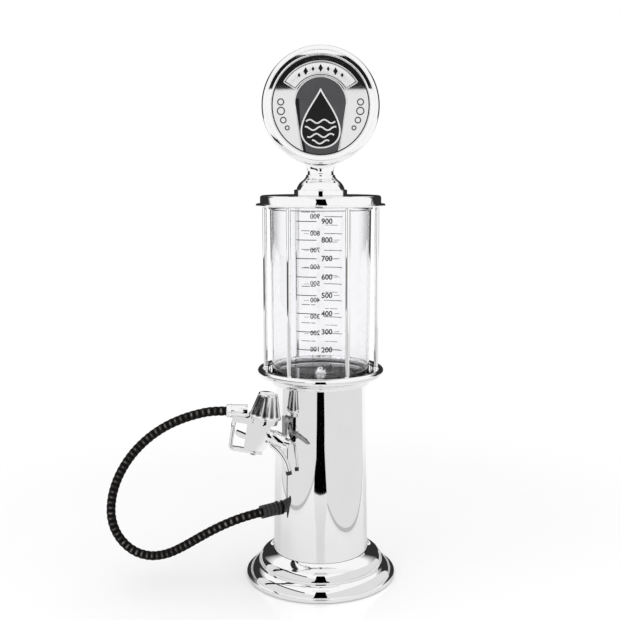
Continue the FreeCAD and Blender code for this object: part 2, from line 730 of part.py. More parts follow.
def hose_route():
    """Corners of the filling hose: out of the gland, down in a wide loop and up to the nozzle."""
    start = gland_point(d.gland_end)
    middle = (
        (-78.5, -41.5, 65.2),
        (-95.0, -42.0, 57.6),
        (-110.5, -39.6, 47.9),
        (-125.0, -35.8, 38.0),
        (-139.5, -31.8, 30.0),
        (-155.6, -28.4, 26.6),
        (-171.8, -26.0, 31.2),
        (-184.5, -24.6, 44.2),
        (-190.2, -24.3, 61.0),
        (-189.2, -24.7, 79.0),
        (-184.2, -25.7, 96.0),
        (-176.0, -27.1, 112.0),
        (-165.2, -28.8, 126.5),
        (-152.0, -31.2, 139.3),
        (-137.2, -34.0, 149.8),
        (-121.0, -36.9, 157.8),
        (-105.0, -39.1, 163.0),
        (-93.5, -40.0, HOSE_END.z),
    )
    return [start, start + GLAND_AXIS * 12.0, *(Vector(*point) for point in middle), HOSE_END]


def drain_route():
    """Corners of the tube inside the column, from the drain down to the gland."""
    gland = gland_point(d.gland_inside)
    back = GLAND_AXIS * -1
    return [
        Vector(0, 0, float(d.drain_shoulder)),
        Vector(0, 0, 150),
        Vector(2, 1, 120),
        Vector(8, 4, 92),
        Vector(6, 3, 70),
        gland + back * 20,
        gland,
    ]


def tube_wire(label, corners, share=0.45):
    """Straight runs joined by tangent arcs, each as large as its two runs allow."""
    edges = []
    here = corners[0]
    radii = []
    for before, corner, after in zip(corners, corners[1:], corners[2:]):
        arriving = (corner - before).normalize()
        leaving = (after - corner).normalize()
        cut = share * min((corner - before).Length, (after - corner).Length)
        start = corner - arriving * cut
        finish = corner + leaving * cut
        half_turn = arriving.getAngle(leaving) / 2
        radius = cut / math.tan(half_turn)
        radii.append(radius)
        inward = (leaving - arriving).normalize()
        middle = corner + inward * (radius / math.cos(half_turn) - radius)
        edges.append(Part.LineSegment(here, start).toShape())
        edges.append(Part.Arc(start, middle, finish).toShape())
        here = finish
    edges.append(Part.LineSegment(here, corners[-1]).toShape())
    wire = Part.Wire(edges)
    print(label, "bend radii", [round(radius, 1) for radius in radii], "length", round(wire.Length, 1))
    return wire


def tube(label, corners, outside, inside=0.0):
    """A round tube along a route, with its volume compared with section times length."""
    wire = tube_wire(label, corners)
    along = corners[1] - corners[0]

    def swept(radius):
        ring = Part.Wire(Part.Circle(corners[0], along, float(radius)).toShape())
        return wire.makePipeShell([ring], True, True)

    shape = swept(outside)
    area = math.pi * float(outside) ** 2
    if float(inside) > 0:
        shape = shape.cut(swept(inside))
        area -= math.pi * float(inside) ** 2
    print(label, "volume over section times length", round(shape.Volume / (area * wire.Length), 4))
    feature = doc.addObject("Part::Feature", label)
    feature.Label = label
    feature.Shape = shape
    feature.Placement = Placement()
    parts[label] = feature


# ---------------------------------------------------------------- nozzle

def handle_rotation():
    """The handle tube runs level, so in the nozzle's frame it tilts back up."""
    pitch = math.radians(float(d.nozzle_pitch))
    return facing(Vector(-math.cos(pitch), 0, -math.sin(pitch)))


def handle_run():
    """Length of the handle tube, from beside the bonnet to the ferrule."""
    start = NOZZLE.multVec(Vector(float(d.handle_x), 0, float(d.handle_z))).x
    return start - float(d.ferrule_end) - float(d.ferrule_length)


def build_nozzle_body():
    """Cast body: a slab with a trigger slot, a round bonnet seat and a level handle tube."""
    body = new_body("nozzle_body")
    back = -d.slab_back
    pad(body, "slab", "XZ_Plane", (
        (back, -d.slab_bottom),
        (d.nose_x, -d.slab_bottom),
        (d.slab_front, -d.slab_bottom + 6),
        (d.slab_front, 1),
        (d.nose_x + 3, d.slab_top),
        (back, d.slab_top),
    ), d.slab_width, middle=True)
    solid(body, "AdditiveCylinder", "bonnet_seat", at(d.valve_x, 0, d.seat_top - 5),
          Radius=d.bonnet_radius - 2.4, Height=5)
    nose = at(d.nose_x, 0, d.nose_z, Rotation(Vector(0, 1, 0), 90 + float(d.nose_pitch)))
    solid(body, "AdditiveCylinder", "nose_boss", nose, Radius=d.nose_radius - 0.9,
          Height=d.boss_length)
    solid(body, "AdditiveBox", "elbow", at(-d.guard_back, -d.guard_width / 2, d.guard_top),
          Length=d.guard_back - d.slab_back + 2, Width=d.guard_width, Height=d.elbow_height)
    handle = at(d.handle_x, 0, d.handle_z, handle_rotation())
    solid(body, "AdditiveCylinder", "handle", handle, Radius=d.handle_radius, Height=handle_run())
    solid(body, "SubtractiveCylinder", "inlet", handle.multiply(at(0, 0, 2.4)),
          Radius=d.inlet_radius, Height=handle_run())
    chamber = at(d.valve_x, 0, d.chamber_floor)
    solid(body, "SubtractiveCylinder", "chamber", chamber, Radius=d.chamber_radius, Height=14)
    passage = Vector(float(d.handle_x) - 5 - float(d.valve_x), 0, float(d.handle_z - d.seat_top) + 2)
    solid(body, "SubtractiveCylinder", "passage",
          at(d.valve_x, 0, d.seat_top - 3, facing(passage)),
          Radius=1.6, Height=passage.Length)
    solid(body, "SubtractiveCylinder", "stem_hole", at(d.valve_x, 0, -12),
          Radius=d.stem_radius + 0.08, Height=17)
    slot_bottom = d.pivot_z - 3.6
    solid(body, "SubtractiveBox", "trigger_slot", at(back - 1, -d.slot_width / 2, slot_bottom),
          Length=d.slab_back + 1 + d.pivot_x + 3.0, Width=d.slot_width, Height=d.slot_height)
    solid(body, "SubtractiveCylinder", "pin_hole",
          at(d.pivot_x, d.slab_width / 2 + 1, d.pivot_z, facing(Vector(0, -1, 0))),
          Radius=d.pin_radius, Height=d.slab_width + 2)
    seat(body, NOZZLE)


def build_nozzle_trim():
    """Crimped ferrule, hose barb, guard with its screw, fluted bonnet and the trigger pin."""
    length = d.ferrule_length
    ferrule = lathe("hose_ferrule", (
        (d.inlet_radius, 0),
        (d.ferrule_radius - 0.8, 0),
        (d.ferrule_radius, 0.8, 0.81),
        (d.ferrule_radius, length * 0.3),
        (d.ferrule_radius - 0.6, length * 0.3),
        (d.ferrule_radius - 0.6, length * 0.6),
        (d.ferrule_radius, length * 0.6),
        (d.ferrule_radius, length),
        (d.inlet_radius, length),
    ))
    hose_mouth = Vector(float(d.ferrule_end), float(d.nozzle_y), HANDLE_Z)
    seat(ferrule, Placement(hose_mouth, facing(Vector(1, 0, 0))))
    barb = washer("hose_barb", 1.4, d.inlet_radius, length + 8)
    seat(barb, Placement(hose_mouth, facing(Vector(1, 0, 0))))

    guard = new_body("trigger_guard")
    outer, strip, bottom = d.guard_back, d.guard_strip, d.slab_bottom
    turn = d.guard_round
    inside_turn = turn - strip
    pad(guard, "strip", "XZ_Plane", (
        (-outer, d.guard_top),
        (-outer, -bottom - strip + turn),
        (-outer + turn, -bottom - strip, turn * 1.01),
        (d.nose_x, -bottom - strip),
        (d.nose_x, -bottom),
        (-outer + turn, -bottom),
        (-outer + strip, -bottom - strip + turn, -(inside_turn * 1.01)),
        (-outer + strip, d.guard_top),
    ), d.guard_width, middle=True)
    solid(guard, "SubtractiveCylinder", "screw_hole", at(0, 0, -d.slab_bottom - d.guard_strip),
          Radius=d.pin_radius + d.shaft_gap, Height=d.guard_strip)
    seat(guard, NOZZLE)

    screw = new_body("guard_screw")
    solid(screw, "AdditiveCylinder", "head", Radius=d.pin_radius * 2, Height=1.2)
    solid(screw, "AdditiveCylinder", "shank", at(0, 0, 1.2), Radius=d.pin_radius, Height=strip)
    seat(screw, nozzle_place(0, 0, -d.slab_bottom - d.guard_strip - 1.2))

    bonnet = lathe("bonnet", (
        (d.chamber_radius, 0),
        (d.bonnet_radius, 0),
        (d.bonnet_radius, 1.6),
        (d.bonnet_head, d.bonnet_height - 1.5),
        (d.bonnet_head - 1.5, d.bonnet_height, 1.51),
        (0, d.bonnet_height),
        (0, d.bonnet_height - 5),
        (d.chamber_radius, d.bonnet_height - 5),
    ))
    slope = Vector(float(d.bonnet_head - d.bonnet_radius), 0, float(d.bonnet_height) - 3)
    start = at(d.bonnet_radius + 0.9, 0, 3.0, facing(slope))
    flute = solid(bonnet, "SubtractiveCylinder", "flute", start, Radius=d.flute_radius,
                  Height=d.bonnet_height + 8)
    round_pattern(bonnet, "flutes", [flute], d.flute_count)
    seat(bonnet, nozzle_place(d.valve_x, 0, d.seat_top))

    pin = new_body("trigger_pin")
    solid(pin, "AdditiveCylinder", "pin", Radius=d.pin_radius, Height=d.slab_width)
    seat(pin, nozzle_place(d.pivot_x, d.slab_width / 2, d.pivot_z, facing(Vector(0, -1, 0))))


def nose_place(along=0.0):
    """A placement on the nose axis, with +Z pointing forwards along it."""
    pitch = Rotation(Vector(0, 1, 0), 90 + float(d.nose_pitch))
    return nozzle_place(d.nose_x, 0, d.nose_z, pitch).multiply(at(0, 0, along))


def build_spout():
    """Nose collar with the neck that hangs in the cradle, bent spout tube and its outlet ring."""
    neck_end = d.nose_length + d.neck_length
    nose = lathe("spout_collar", (
        (0, d.boss_length),
        (d.nose_radius, d.boss_length),
        (d.nose_radius, d.nose_length),
        (d.neck_radius, d.nose_length),
        (d.neck_radius, neck_end),
        (d.nose_flange, neck_end),
        (d.nose_flange, d.nose_end - 1),
        (d.nose_flange - 1, d.nose_end, 1.01),
        (0, d.nose_end),
    ))
    seat(nose, nose_place())

    bend = float(d.spout_bend)
    lean = math.radians(float(d.spout_start))
    turn = math.radians(float(d.spout_turn))
    start = Vector(float(d.spout_x), 0, float(d.spout_z))
    centre = start + Vector(-math.sin(lean), 0, -math.cos(lean)) * bend

    def bend_point(angle):
        return centre + Vector(math.sin(lean + angle), 0, math.cos(lean + angle)) * bend

    root = start - Vector(math.cos(lean), 0, -math.sin(lean)) * 3.4
    arc = Part.Arc(start, bend_point(turn / 2), bend_point(turn))
    path = Part.Wire([Part.LineSegment(root, start).toShape(), arc.toShape()])
    heading = start - root

    def swept(radius):
        ring = Part.Wire(Part.Circle(root, heading, float(radius)).toShape())
        return path.makePipeShell([ring], True, True)

    spout = doc.addObject("Part::Feature", "spout")
    spout.Label = "spout"
    doc.recompute()
    tube_shape = swept(d.spout_radius).cut(swept(d.spout_bore))
    for neighbour in ("spout_collar", "nozzle_body"):
        taken = parts[neighbour].Shape.copy()
        taken.Placement = NOZZLE.inverse().multiply(taken.Placement)
        tube_shape = tube_shape.cut(taken)
    spout.Shape = max(tube_shape.Solids, key=lambda piece: piece.Volume)
    spout.Placement = NOZZLE
    parts["spout"] = spout

    last = bend_point(turn)
    down = Vector(math.cos(lean + turn), 0, -math.sin(lean + turn))
    tip = washer("spout_tip", d.spout_bore, d.spout_radius + 0.25, d.tip_length)
    seat(tip, NOZZLE.multiply(Placement(last, facing(down))))


def build_valve():
    """Trigger lever with the stem, washer and return spring that it lifts."""
    trigger = new_body("trigger")
    half = d.trigger_thick / 2
    reach = d.trigger_reach + d.pivot_x
    pad(trigger, "lever", "XZ_Plane", (
        (-reach, 4.6),
        (-reach - 1.2, 4.6 - d.trigger_thick, 2.0),
        (-reach * 0.62, -half + 0.4, d.trigger_curl),
        (0, -half * 1.9),
        (half * 1.9, 0, half * 1.92),
        (0, half * 1.9, half * 1.92),
        (-reach * 0.25, half),
        (-reach * 0.62, half + 0.6),
    ), d.trigger_width, middle=True)
    solid(trigger, "SubtractiveCylinder", "pin_hole",
          at(0, d.trigger_width, 0, facing(Vector(0, -1, 0))),
          Radius=d.pin_radius + d.shaft_gap, Height=d.trigger_width * 2)
    seat(trigger, nozzle_place(d.pivot_x, 0, d.pivot_z))

    head = d.valve_lift_face
    stem = lathe("valve_stem", (
        (0, d.stem_bottom),
        (d.stem_radius, d.stem_bottom),
        (d.stem_radius, head),
        (d.chamber_radius - 1.2, head),
        (d.chamber_radius - 1.2, head + 1.6),
        (d.stem_radius, head + 1.6),
        (d.stem_radius, d.stem_top),
        (0, d.stem_top),
    ))
    seat(stem, nozzle_place(d.valve_x, 0, 0))
    seal = washer("valve_seal", d.stem_radius, d.chamber_radius - 1.4, 0.8)
    seat(seal, nozzle_place(d.valve_x, 0, head - 0.8))
    ring = washer("valve_seat", d.stem_radius + 0.6, d.chamber_radius, head - 0.85 - d.chamber_floor)
    seat(ring, nozzle_place(d.valve_x, 0, d.chamber_floor))

    turns = float(d.spring_turns)
    coil = Part.makeHelix(float(d.spring_pitch), float(d.spring_pitch) * turns, float(d.spring_radius))
    wire = Part.Circle(Vector(float(d.spring_radius), 0, 0), Vector(0, 1, 0), float(d.spring_wire))
    spring = doc.addObject("Part::Feature", "valve_spring")
    spring.Label = "valve_spring"
    spring.Shape = Part.Wire(coil.Edges).makePipeShell([Part.Wire(wire.toShape())], True, True)
    foot = float(head) + 1.6 + float(d.spring_wire) + float(d.spring_gap)
    spring.Placement = nozzle_place(d.valve_x, 0, foot)
    parts["valve_spring"] = spring


# ---------------------------------------------------------------- cradle

def cradle_screw_levels():
    """Heights of the two screws that hold the cradle to the column."""
    offset = float(d.cradle_half_height) - 3.2
    return [float(d.cradle_level) - offset, float(d.cradle_level) + offset]


def lift_direction():
    """The way that the nozzle leaves the cradle: square to the nose, outwards and up."""
    nose = nose_place().Rotation.multVec(Vector(0, 0, 1))
    up = nose.cross(Vector(0, 1, 0)) * -1
    if up.z < 0:
        up = up * -1
    angle = math.radians(float(d.lift_angle))
    return (Vector(0, -math.cos(angle), 0) + up * math.sin(angle)).normalize()


def cradle_tail(low):
    """Curved tail of the cradle plate, which follows the column forwards and down to a point."""
    def line(points):
        curve = Part.BSplineCurve()
        curve.interpolate([Vector(x, 0, z - low) for x, z in points])
        return curve.toShape()

    upper, lower = CRADLE_TAIL
    outline = Part.Wire([
        line(upper),
        Part.LineSegment(*[Vector(x, 0, z - low) for x, z in (upper[-1], lower[0])]).toShape(),
        line(lower),
        Part.LineSegment(*[Vector(x, 0, z - low) for x, z in (lower[-1], upper[0])]).toShape(),
    ])
    prism = Part.Face(outline).extrude(Vector(0, -float(d.cradle_outer) * 1.2, 0))
    tall = float(d.cradle_half_height) * 2
    ring = Part.makeCylinder(float(d.cradle_outer - d.tail_step), tall)
    ring = ring.cut(Part.makeCylinder(float(d.cradle_inner + d.tail_gap), tall))
    return ring.common(prism)


def build_cradle():
    """Curved plate on the column, a forked arm that takes the nozzle's neck, and two screws."""
    half = float(d.cradle_spread)
    middle = -float(d.cradle_angle)
    tall = float(d.cradle_half_height) * 2
    low = float(d.cradle_level) - float(d.cradle_half_height)
    inner, outer = float(d.cradle_inner), float(d.cradle_outer)
    edge = [on_circle(inner, middle - half), on_circle(outer, middle - half),
            on_circle(outer, middle + half), on_circle(inner, middle + half)]
    outline = Part.Wire([
        Part.LineSegment(edge[0], edge[1]).toShape(),
        Part.Arc(edge[1], on_circle(outer, middle), edge[2]).toShape(),
        Part.LineSegment(edge[2], edge[3]).toShape(),
        Part.Arc(edge[3], on_circle(inner, middle), edge[0]).toShape(),
    ])
    plate = Part.Face(outline).extrude(Vector(0, 0, tall))
    outward = on_circle(1, middle)
    for level in cradle_screw_levels():
        tool = Part.makeCylinder(float(d.cradle_screw + d.shaft_gap), 10,
                                 on_circle(inner - 4, middle, level - low), outward)
        plate = plate.cut(tool)
    plate = plate.fuse(cradle_tail(low)).removeSplitter()
    feature = doc.addObject("Part::Feature", "cradle_plate")
    feature.Label = "cradle_plate"
    feature.Shape = plate
    feature.Placement = at(0, 0, low)
    parts["cradle_plate"] = feature

    screws = []
    for level in cradle_screw_levels():
        start = on_circle(inner - 5, middle, level)
        shank = Part.makeCylinder(float(d.cradle_screw), outer - inner + 5, start, outward)
        head = Part.makeCone(float(d.cradle_screw) * 2, float(d.cradle_screw) * 1.2, 1.3,
                             on_circle(outer, middle, level), outward)
        screws.append(shank.fuse(head))
    feature = doc.addObject("Part::Feature", "cradle_screws")
    feature.Label = "cradle_screws"
    feature.Shape = Part.makeCompound(screws)
    parts["cradle_screws"] = feature

    nose = nose_place()
    forward = nose.Rotation.multVec(Vector(0, 0, 1))
    away = lift_direction()
    side = forward.cross(away)
    thick = float(d.fork_thick)
    neck = nose.multVec(Vector(0, 0, float(d.nose_length + d.neck_length / 2))) - forward * (thick / 2)
    gap, wide, reach = float(d.fork_gap), float(d.fork_radius), float(d.fork_reach)

    def fork_point(out, across):
        return neck + away * out + side * across

    outline = Part.Wire([
        Part.LineSegment(fork_point(reach, gap), fork_point(reach, wide)).toShape(),
        Part.LineSegment(fork_point(reach, wide), fork_point(0, wide)).toShape(),
        Part.Arc(fork_point(0, wide), fork_point(-wide, 0), fork_point(0, -wide)).toShape(),
        Part.LineSegment(fork_point(0, -wide), fork_point(reach, -wide)).toShape(),
        Part.LineSegment(fork_point(reach, -wide), fork_point(reach, -gap)).toShape(),
        Part.LineSegment(fork_point(reach, -gap), fork_point(0, -gap)).toShape(),
        Part.Arc(fork_point(0, -gap), fork_point(-gap, 0), fork_point(0, gap)).toShape(),
        Part.LineSegment(fork_point(0, gap), fork_point(reach, gap)).toShape(),
    ])
    fork = Part.Face(outline).extrude(forward * thick)
    back = fork_point(0, 0.4 - wide) + forward * (thick / 2)
    foot = on_circle(inner + 0.4, middle, d.cradle_level)
    reach_in = foot - back
    arm = Part.makeCylinder(float(d.arm_radius), reach_in.Length, back, reach_in)
    plate_space = Part.makeCylinder(outer, 80, Vector(0, 0, low - 30))
    feature = doc.addObject("Part::Feature", "nozzle_cradle")
    feature.Label = "nozzle_cradle"
    feature.Shape = fork.fuse(arm).cut(plate_space).removeSplitter()
    parts["nozzle_cradle"] = feature


# ---------------------------------------------------------------- stopper and globe

def build_stopper():
    """Plug with its ring seal, the bell-shaped stem, and the stud that carries the globe."""
    rest = d.cap_top + d.stopper_gap
    groove = d.plug_depth * 0.45
    plug = lathe("stopper_plug", (
        (d.stud_radius + 0.05, 0),
        (d.plug_radius, 0),
        (d.plug_radius, groove - d.seal_radius),
        (d.plug_radius - 1.2, groove - d.seal_radius),
        (d.plug_radius - 1.2, groove + d.seal_radius),
        (d.plug_radius, groove + d.seal_radius),
        (d.plug_radius, d.plug_depth),
        (d.stud_radius + 0.05, d.plug_depth),
    ))
    place(plug, z=rest - d.plug_depth)
    ring_middle = d.plug_radius - 1.2 + (d.filler_radius - 0.05 - d.plug_radius + 1.2) / 2
    half = (d.filler_radius - 0.05 - d.plug_radius + 1.2) / 2
    seal = lathe("stopper_seal", (
        (ring_middle, -half),
        (ring_middle + half, 0, half * 1.01),
        (ring_middle, half, half * 1.01),
        (ring_middle - half, 0, half * 1.01),
        (ring_middle, -half, half * 1.01),
    )[1:])
    place(seal, z=rest - d.plug_depth + groove)

    bell = lathe("stopper_bell", (
        (d.stud_radius + 0.1, rest),
        (d.bell_flange, rest),
        (d.bell_flange, d.bell_flange_top - 1),
        (d.bell_flange - 1, d.bell_flange_top, 1.01),
        (d.bell_radius, d.bell_flange_top),
        (d.bell_waist, d.bell_waist_level, 13),
        (d.bell_ledge, d.bell_ledge_level, -9),
        (d.bell_ledge, d.bell_ledge_level + 1),
        (d.neck_waist + 0.4, d.bell_ledge_level + 1.4),
        (d.neck_waist, d.neck_waist_level, -9),
        (d.saddle_radius, d.saddle_level, -16),
        (d.stud_radius + 0.1, d.saddle_level),
    ))
    drum = at(0, -40, d.total_height - d.globe_radius, facing(Vector(0, 1, 0)))
    solid(bell, "SubtractiveCylinder", "saddle", drum, Radius=d.globe_radius + 0.02, Height=80)

    stud = new_body("globe_stud")
    stud_foot = rest - d.plug_depth - 3
    stud_top = d.total_height - d.globe_radius * 2 + 8
    solid(stud, "AdditiveCylinder", "stud", Radius=d.stud_radius, Height=stud_top - stud_foot)
    place(stud, z=stud_foot)
    nuts = new_body("globe_nuts")
    nuts.AllowCompound = True
    drum_inside = d.total_height - d.globe_radius * 2 + d.sheet_metal * 1.7
    for number, height in enumerate((stud_foot + 0.4, drum_inside), start=1):
        solid(nuts, "AdditivePrism", f"nut_{number}", at(0, 0, height), Polygon=6,
              Circumradius=4.6, Height=2.6)
        solid(nuts, "SubtractiveCylinder", f"bore_{number}", at(0, 0, height),
              Radius=d.stud_radius + d.shaft_gap, Height=2.6)


def build_globe():
    """Round sign: a rim band, two rolled bezels and two face plates."""
    middle = d.total_height - d.globe_radius
    wall = d.sheet_metal
    band = lathe("globe_drum", (
        (d.globe_radius - wall, -d.globe_half),
        (d.globe_radius, -d.globe_half),
        (d.globe_radius, d.globe_half),
        (d.globe_radius - wall, d.globe_half),
    ), "XY_Plane")
    spot = at(0, 0, -d.globe_radius - 1)
    solid(band, "SubtractiveCylinder", "stud_hole", spot, Radius=d.stud_radius + 0.1, Height=8)
    place(band, z=middle)
    edge = d.globe_half + d.bezel_depth
    for side, sign in (("front", -1), ("back", 1)):
        bezel = lathe(f"globe_{side}_bezel", (
            (d.globe_radius - wall, d.globe_half),
            (d.globe_radius, d.globe_half),
            (d.bezel_crown, edge, d.bezel_depth * 1.02),
            (d.bezel_bore + 1, edge),
            (d.bezel_bore, edge - 1, 1.01),
            (d.bezel_bore, edge - d.face_depth),
            (d.globe_radius - wall - 1.4, edge - d.face_depth),
        ), "XY_Plane")
        face = lathe(f"globe_{side}_plate", (
            (0, edge - d.face_depth),
            (0, edge - d.face_depth - d.face_thickness),
            (d.bezel_crown, edge - d.face_depth - d.face_thickness),
            (d.bezel_crown, edge - d.face_depth),
        ), "XY_Plane")
        for piece in (bezel, face):
            turned = Rotation(Vector(0, 0, 1), 180 if sign < 0 else 0)
            seat(piece, at(0, 0, middle, turned))


# ---------------------------------------------------------------- build, check and write

build_base()
build_column()
build_gland()
build_ring()
build_canister()
build_rods()
build_cap()
build_drain()
build_nozzle_body()
build_nozzle_trim()
build_spout()
build_valve()
build_cradle()
build_stopper()
build_globe()
tube("hose", hose_route(), d.hose_diameter / 2)
tube("drain_tube", drain_route(), d.tube_radius, d.drain_barb)
doc.recompute()

lift = lift_direction()
print("nozzle leaves the cradle along", [round(v, 4) for v in lift])

for thing in doc.Objects:
    if "Invalid" in thing.State or "Error" in thing.State:
        raise RuntimeError(f"{thing.Label} did not rebuild: {thing.State}")
for label, part in parts.items():
    if part.Shape.isNull() or not part.Shape.isValid():
        raise RuntimeError(f"{label} has no sound shape")

os.makedirs("parts", exist_ok=True)
for label, part in parts.items():
    part.Shape.exportStep(f"parts/{label}.step")
print(len(parts), "sub-parts written")
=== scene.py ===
import math

import bmesh
import bpy
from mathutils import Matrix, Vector
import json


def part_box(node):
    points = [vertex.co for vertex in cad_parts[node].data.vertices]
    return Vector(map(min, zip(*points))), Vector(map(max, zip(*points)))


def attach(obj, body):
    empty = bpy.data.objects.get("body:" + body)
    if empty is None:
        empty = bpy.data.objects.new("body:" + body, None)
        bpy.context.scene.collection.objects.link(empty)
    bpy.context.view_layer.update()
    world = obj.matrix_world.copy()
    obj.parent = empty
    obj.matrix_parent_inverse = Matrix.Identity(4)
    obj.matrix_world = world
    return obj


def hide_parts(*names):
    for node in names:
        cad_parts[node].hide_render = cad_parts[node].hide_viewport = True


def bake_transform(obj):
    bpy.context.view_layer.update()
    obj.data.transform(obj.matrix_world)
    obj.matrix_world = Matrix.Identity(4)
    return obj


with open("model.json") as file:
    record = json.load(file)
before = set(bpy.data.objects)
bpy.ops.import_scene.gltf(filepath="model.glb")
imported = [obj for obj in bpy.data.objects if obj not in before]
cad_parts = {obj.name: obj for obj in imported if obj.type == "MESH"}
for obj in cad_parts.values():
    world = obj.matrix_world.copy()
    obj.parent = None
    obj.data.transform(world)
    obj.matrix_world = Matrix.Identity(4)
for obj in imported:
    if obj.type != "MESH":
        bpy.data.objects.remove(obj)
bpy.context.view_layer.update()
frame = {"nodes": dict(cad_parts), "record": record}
nodes = frame["nodes"]

MM = 0.001

# ---------------------------------------------------------------- sizes read from the frame

CAN_LOW, CAN_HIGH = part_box("canister")
FRONT_PLATE_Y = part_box("globe_front_plate")[0].y
BACK_PLATE_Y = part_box("globe_back_plate")[1].y
GLOBE_LOW, GLOBE_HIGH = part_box("globe_drum")
GLOBE_MIDDLE = (GLOBE_LOW.z + GLOBE_HIGH.z) / 2

CAMERA_DISTANCE = 0.845
CAMERA_HEIGHT = 0.372
CAMERA_PITCH = math.radians(8.31)
CAMERA_LENS = 54.87
CAMERA_SHIFT = -0.0171

HOSE_DIAMETER = 8.2 * MM
HOSE_RIB_PITCH = 5.2 * MM
HOSE_RIB_STEPS = 12            # rings of points in one rib

CAN_FOOT_RADIUS = 44.0 * MM
CAN_TOP_RADIUS = 45.0 * MM

NOZZLE_TILT = math.radians(9)
NOZZLE_ORIGIN = (-56, -40, 150)    # in millimetres
VALVE_X = 5.5                      # the valve's axis in the nozzle's own frame, in millimetres


# ---------------------------------------------------------------- small helpers

def new_piece(name, mesh, body, material):
    """Link a finished mesh as a piece; it rides on a CAD body, unless that is None."""
    piece = bpy.data.objects.new(name, mesh)
    bpy.context.scene.collection.objects.link(piece)
    if material is not None:
        mesh.materials.clear()
        mesh.materials.append(material)
    if body is not None:
        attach(piece, body)
    return piece


def mesh_from(name, vertices, faces, smooth=True):
    """A mesh from plain lists, with its faces turned outwards."""
    mesh = bpy.data.meshes.new(name)
    mesh.from_pydata([tuple(v) for v in vertices], [], faces)
    work = bmesh.new()
    work.from_mesh(mesh)
    bmesh.ops.recalc_face_normals(work, faces=work.faces)
    work.to_mesh(mesh)
    work.free()
    for polygon in mesh.polygons:
        polygon.use_smooth = smooth
    return mesh


def ring_stack(rings, closed_ends=True):
    """Vertices and faces of a skin through rings that all have the same number of points."""
    count = len(rings[0])
    vertices = [point for ring in rings for point in ring]
    faces = []
    for level in range(len(rings) - 1):
        for step in range(count):
            after = (step + 1) % count
            low, high = level * count, (level + 1) * count
            faces.append((low + step, low + after, high + after, high + step))
    if closed_ends:
        faces.append(tuple(reversed(range(count))))
        faces.append(tuple(range((len(rings) - 1) * count, len(rings) * count)))
    return vertices, faces


# ---------------------------------------------------------------- materials

class Nodes:
    """Short way to build a node tree."""

    def __init__(self, tree):
        self.tree = tree
        self.tree.nodes.clear()

    def add(self, kind, **settings):
        node = self.tree.nodes.new(kind)
        for name, value in settings.items():
            setattr(node, name, value)
        return node

    def link(self, source, target):
        self.tree.links.new(source, target)

    def maths(self, operation, *inputs, clamp=False):
        """A Math node; inputs are numbers or sockets."""
        node = self.add("ShaderNodeMath", operation=operation, use_clamp=clamp)
        for index, value in enumerate(inputs):
            if isinstance(value, (int, float)):
                node.inputs[index].default_value = value
            else:
                self.link(value, node.inputs[index])
        return node.outputs[0]

    def noise(self, scale, detail=3.0, roughness=0.5, stretch=None):
        """Noise in the object's own coordinates, in metres."""
        place = self.add("ShaderNodeTexCoord").outputs["Object"]
        if stretch is not None:
            mapping = self.add("ShaderNodeMapping")
            mapping.inputs["Scale"].default_value = stretch
            self.link(place, mapping.inputs["Vector"])
            place = mapping.outputs["Vector"]
        texture = self.add("ShaderNodeTexNoise")
        texture.inputs["Scale"].default_value = scale
        texture.inputs["Detail"].default_value = detail
        texture.inputs["Roughness"].default_value = roughness
        self.link(place, texture.inputs["Vector"])
        return texture.outputs["Fac"]

    def ramp(self, factor, stops):
        """A colour ramp; stops are (position, grey or colour)."""
        node = self.add("ShaderNodeValToRGB")
        elements = node.color_ramp.elements
        while len(elements) < len(stops):
            elements.new(0.5)
        for element, (position, colour) in zip(elements, stops):
            element.position = position
            if isinstance(colour, (int, float)):
                colour = (colour, colour, colour)
            element.color = (*colour, 1.0)
        self.link(factor, node.inputs["Fac"])
        return node.outputs["Color"]

    def spread(self, factor, low, high):
        """Map a 0 to 1 factor on to a range."""
        node = self.add("ShaderNodeMapRange")
        node.inputs["To Min"].default_value = low
        node.inputs["To Max"].default_value = high
        self.link(factor, node.inputs["Value"])
        return node.outputs["Result"]


def material(name, build, **constants):
    """A Principled material; build(nodes, shader) adds what varies over the surface."""
    made = bpy.data.materials.new(name)
    made.use_nodes = True
    nodes_of = Nodes(made.node_tree)
    shader = nodes_of.add("ShaderNodeBsdfPrincipled")
    output = nodes_of.add("ShaderNodeOutputMaterial")
    nodes_of.link(shader.outputs["BSDF"], output.inputs["Surface"])
    for key, value in constants.items():
        shader.inputs[key.replace("_", " ")].default_value = value
    build(nodes_of, shader)
    return made


def add_bump(n, shader, height, distance, strength=1.0):
    """Bump from a height socket, with its distance in metres."""
    bump = n.add("ShaderNodeBump")
    bump.inputs["Distance"].default_value = distance
    bump.inputs["Strength"].default_value = strength
    n.link(height, bump.inputs["Height"])
    n.link(bump.outputs["Normal"], shader.inputs["Normal"])


def polished(tone, rough_low, rough_high, wave, scratch=(60, 60, 900)):
    """Chrome plate: faint haze, hairline wipes and a slow waviness of the sheet under it."""
    def build(n, shader):
        haze = n.noise(38, 4, 0.6)
        n.link(n.ramp(haze, ((0.3, tone), (0.75, tone * 0.965))), shader.inputs["Base Color"])
        wipes = n.noise(1.0, 2, 0.5, stretch=scratch)
        mixed = n.maths("MULTIPLY", haze, wipes)
        n.link(n.spread(mixed, rough_low, rough_high), shader.inputs["Roughness"])
        add_bump(n, shader, n.noise(22, 2), wave)
    return build


def brushed(tone, rough):
    """Plain metal with fine lines across it."""
    def build(n, shader):
        lines = n.noise(1.0, 4, 0.7, stretch=(900, 900, 40))
        n.link(n.ramp(lines, ((0.3, tone * 0.8), (0.7, tone))), shader.inputs["Base Color"])
        n.link(n.spread(lines, rough * 0.8, rough * 1.3), shader.inputs["Roughness"])
        add_bump(n, shader, lines, 0.00003)
    return build


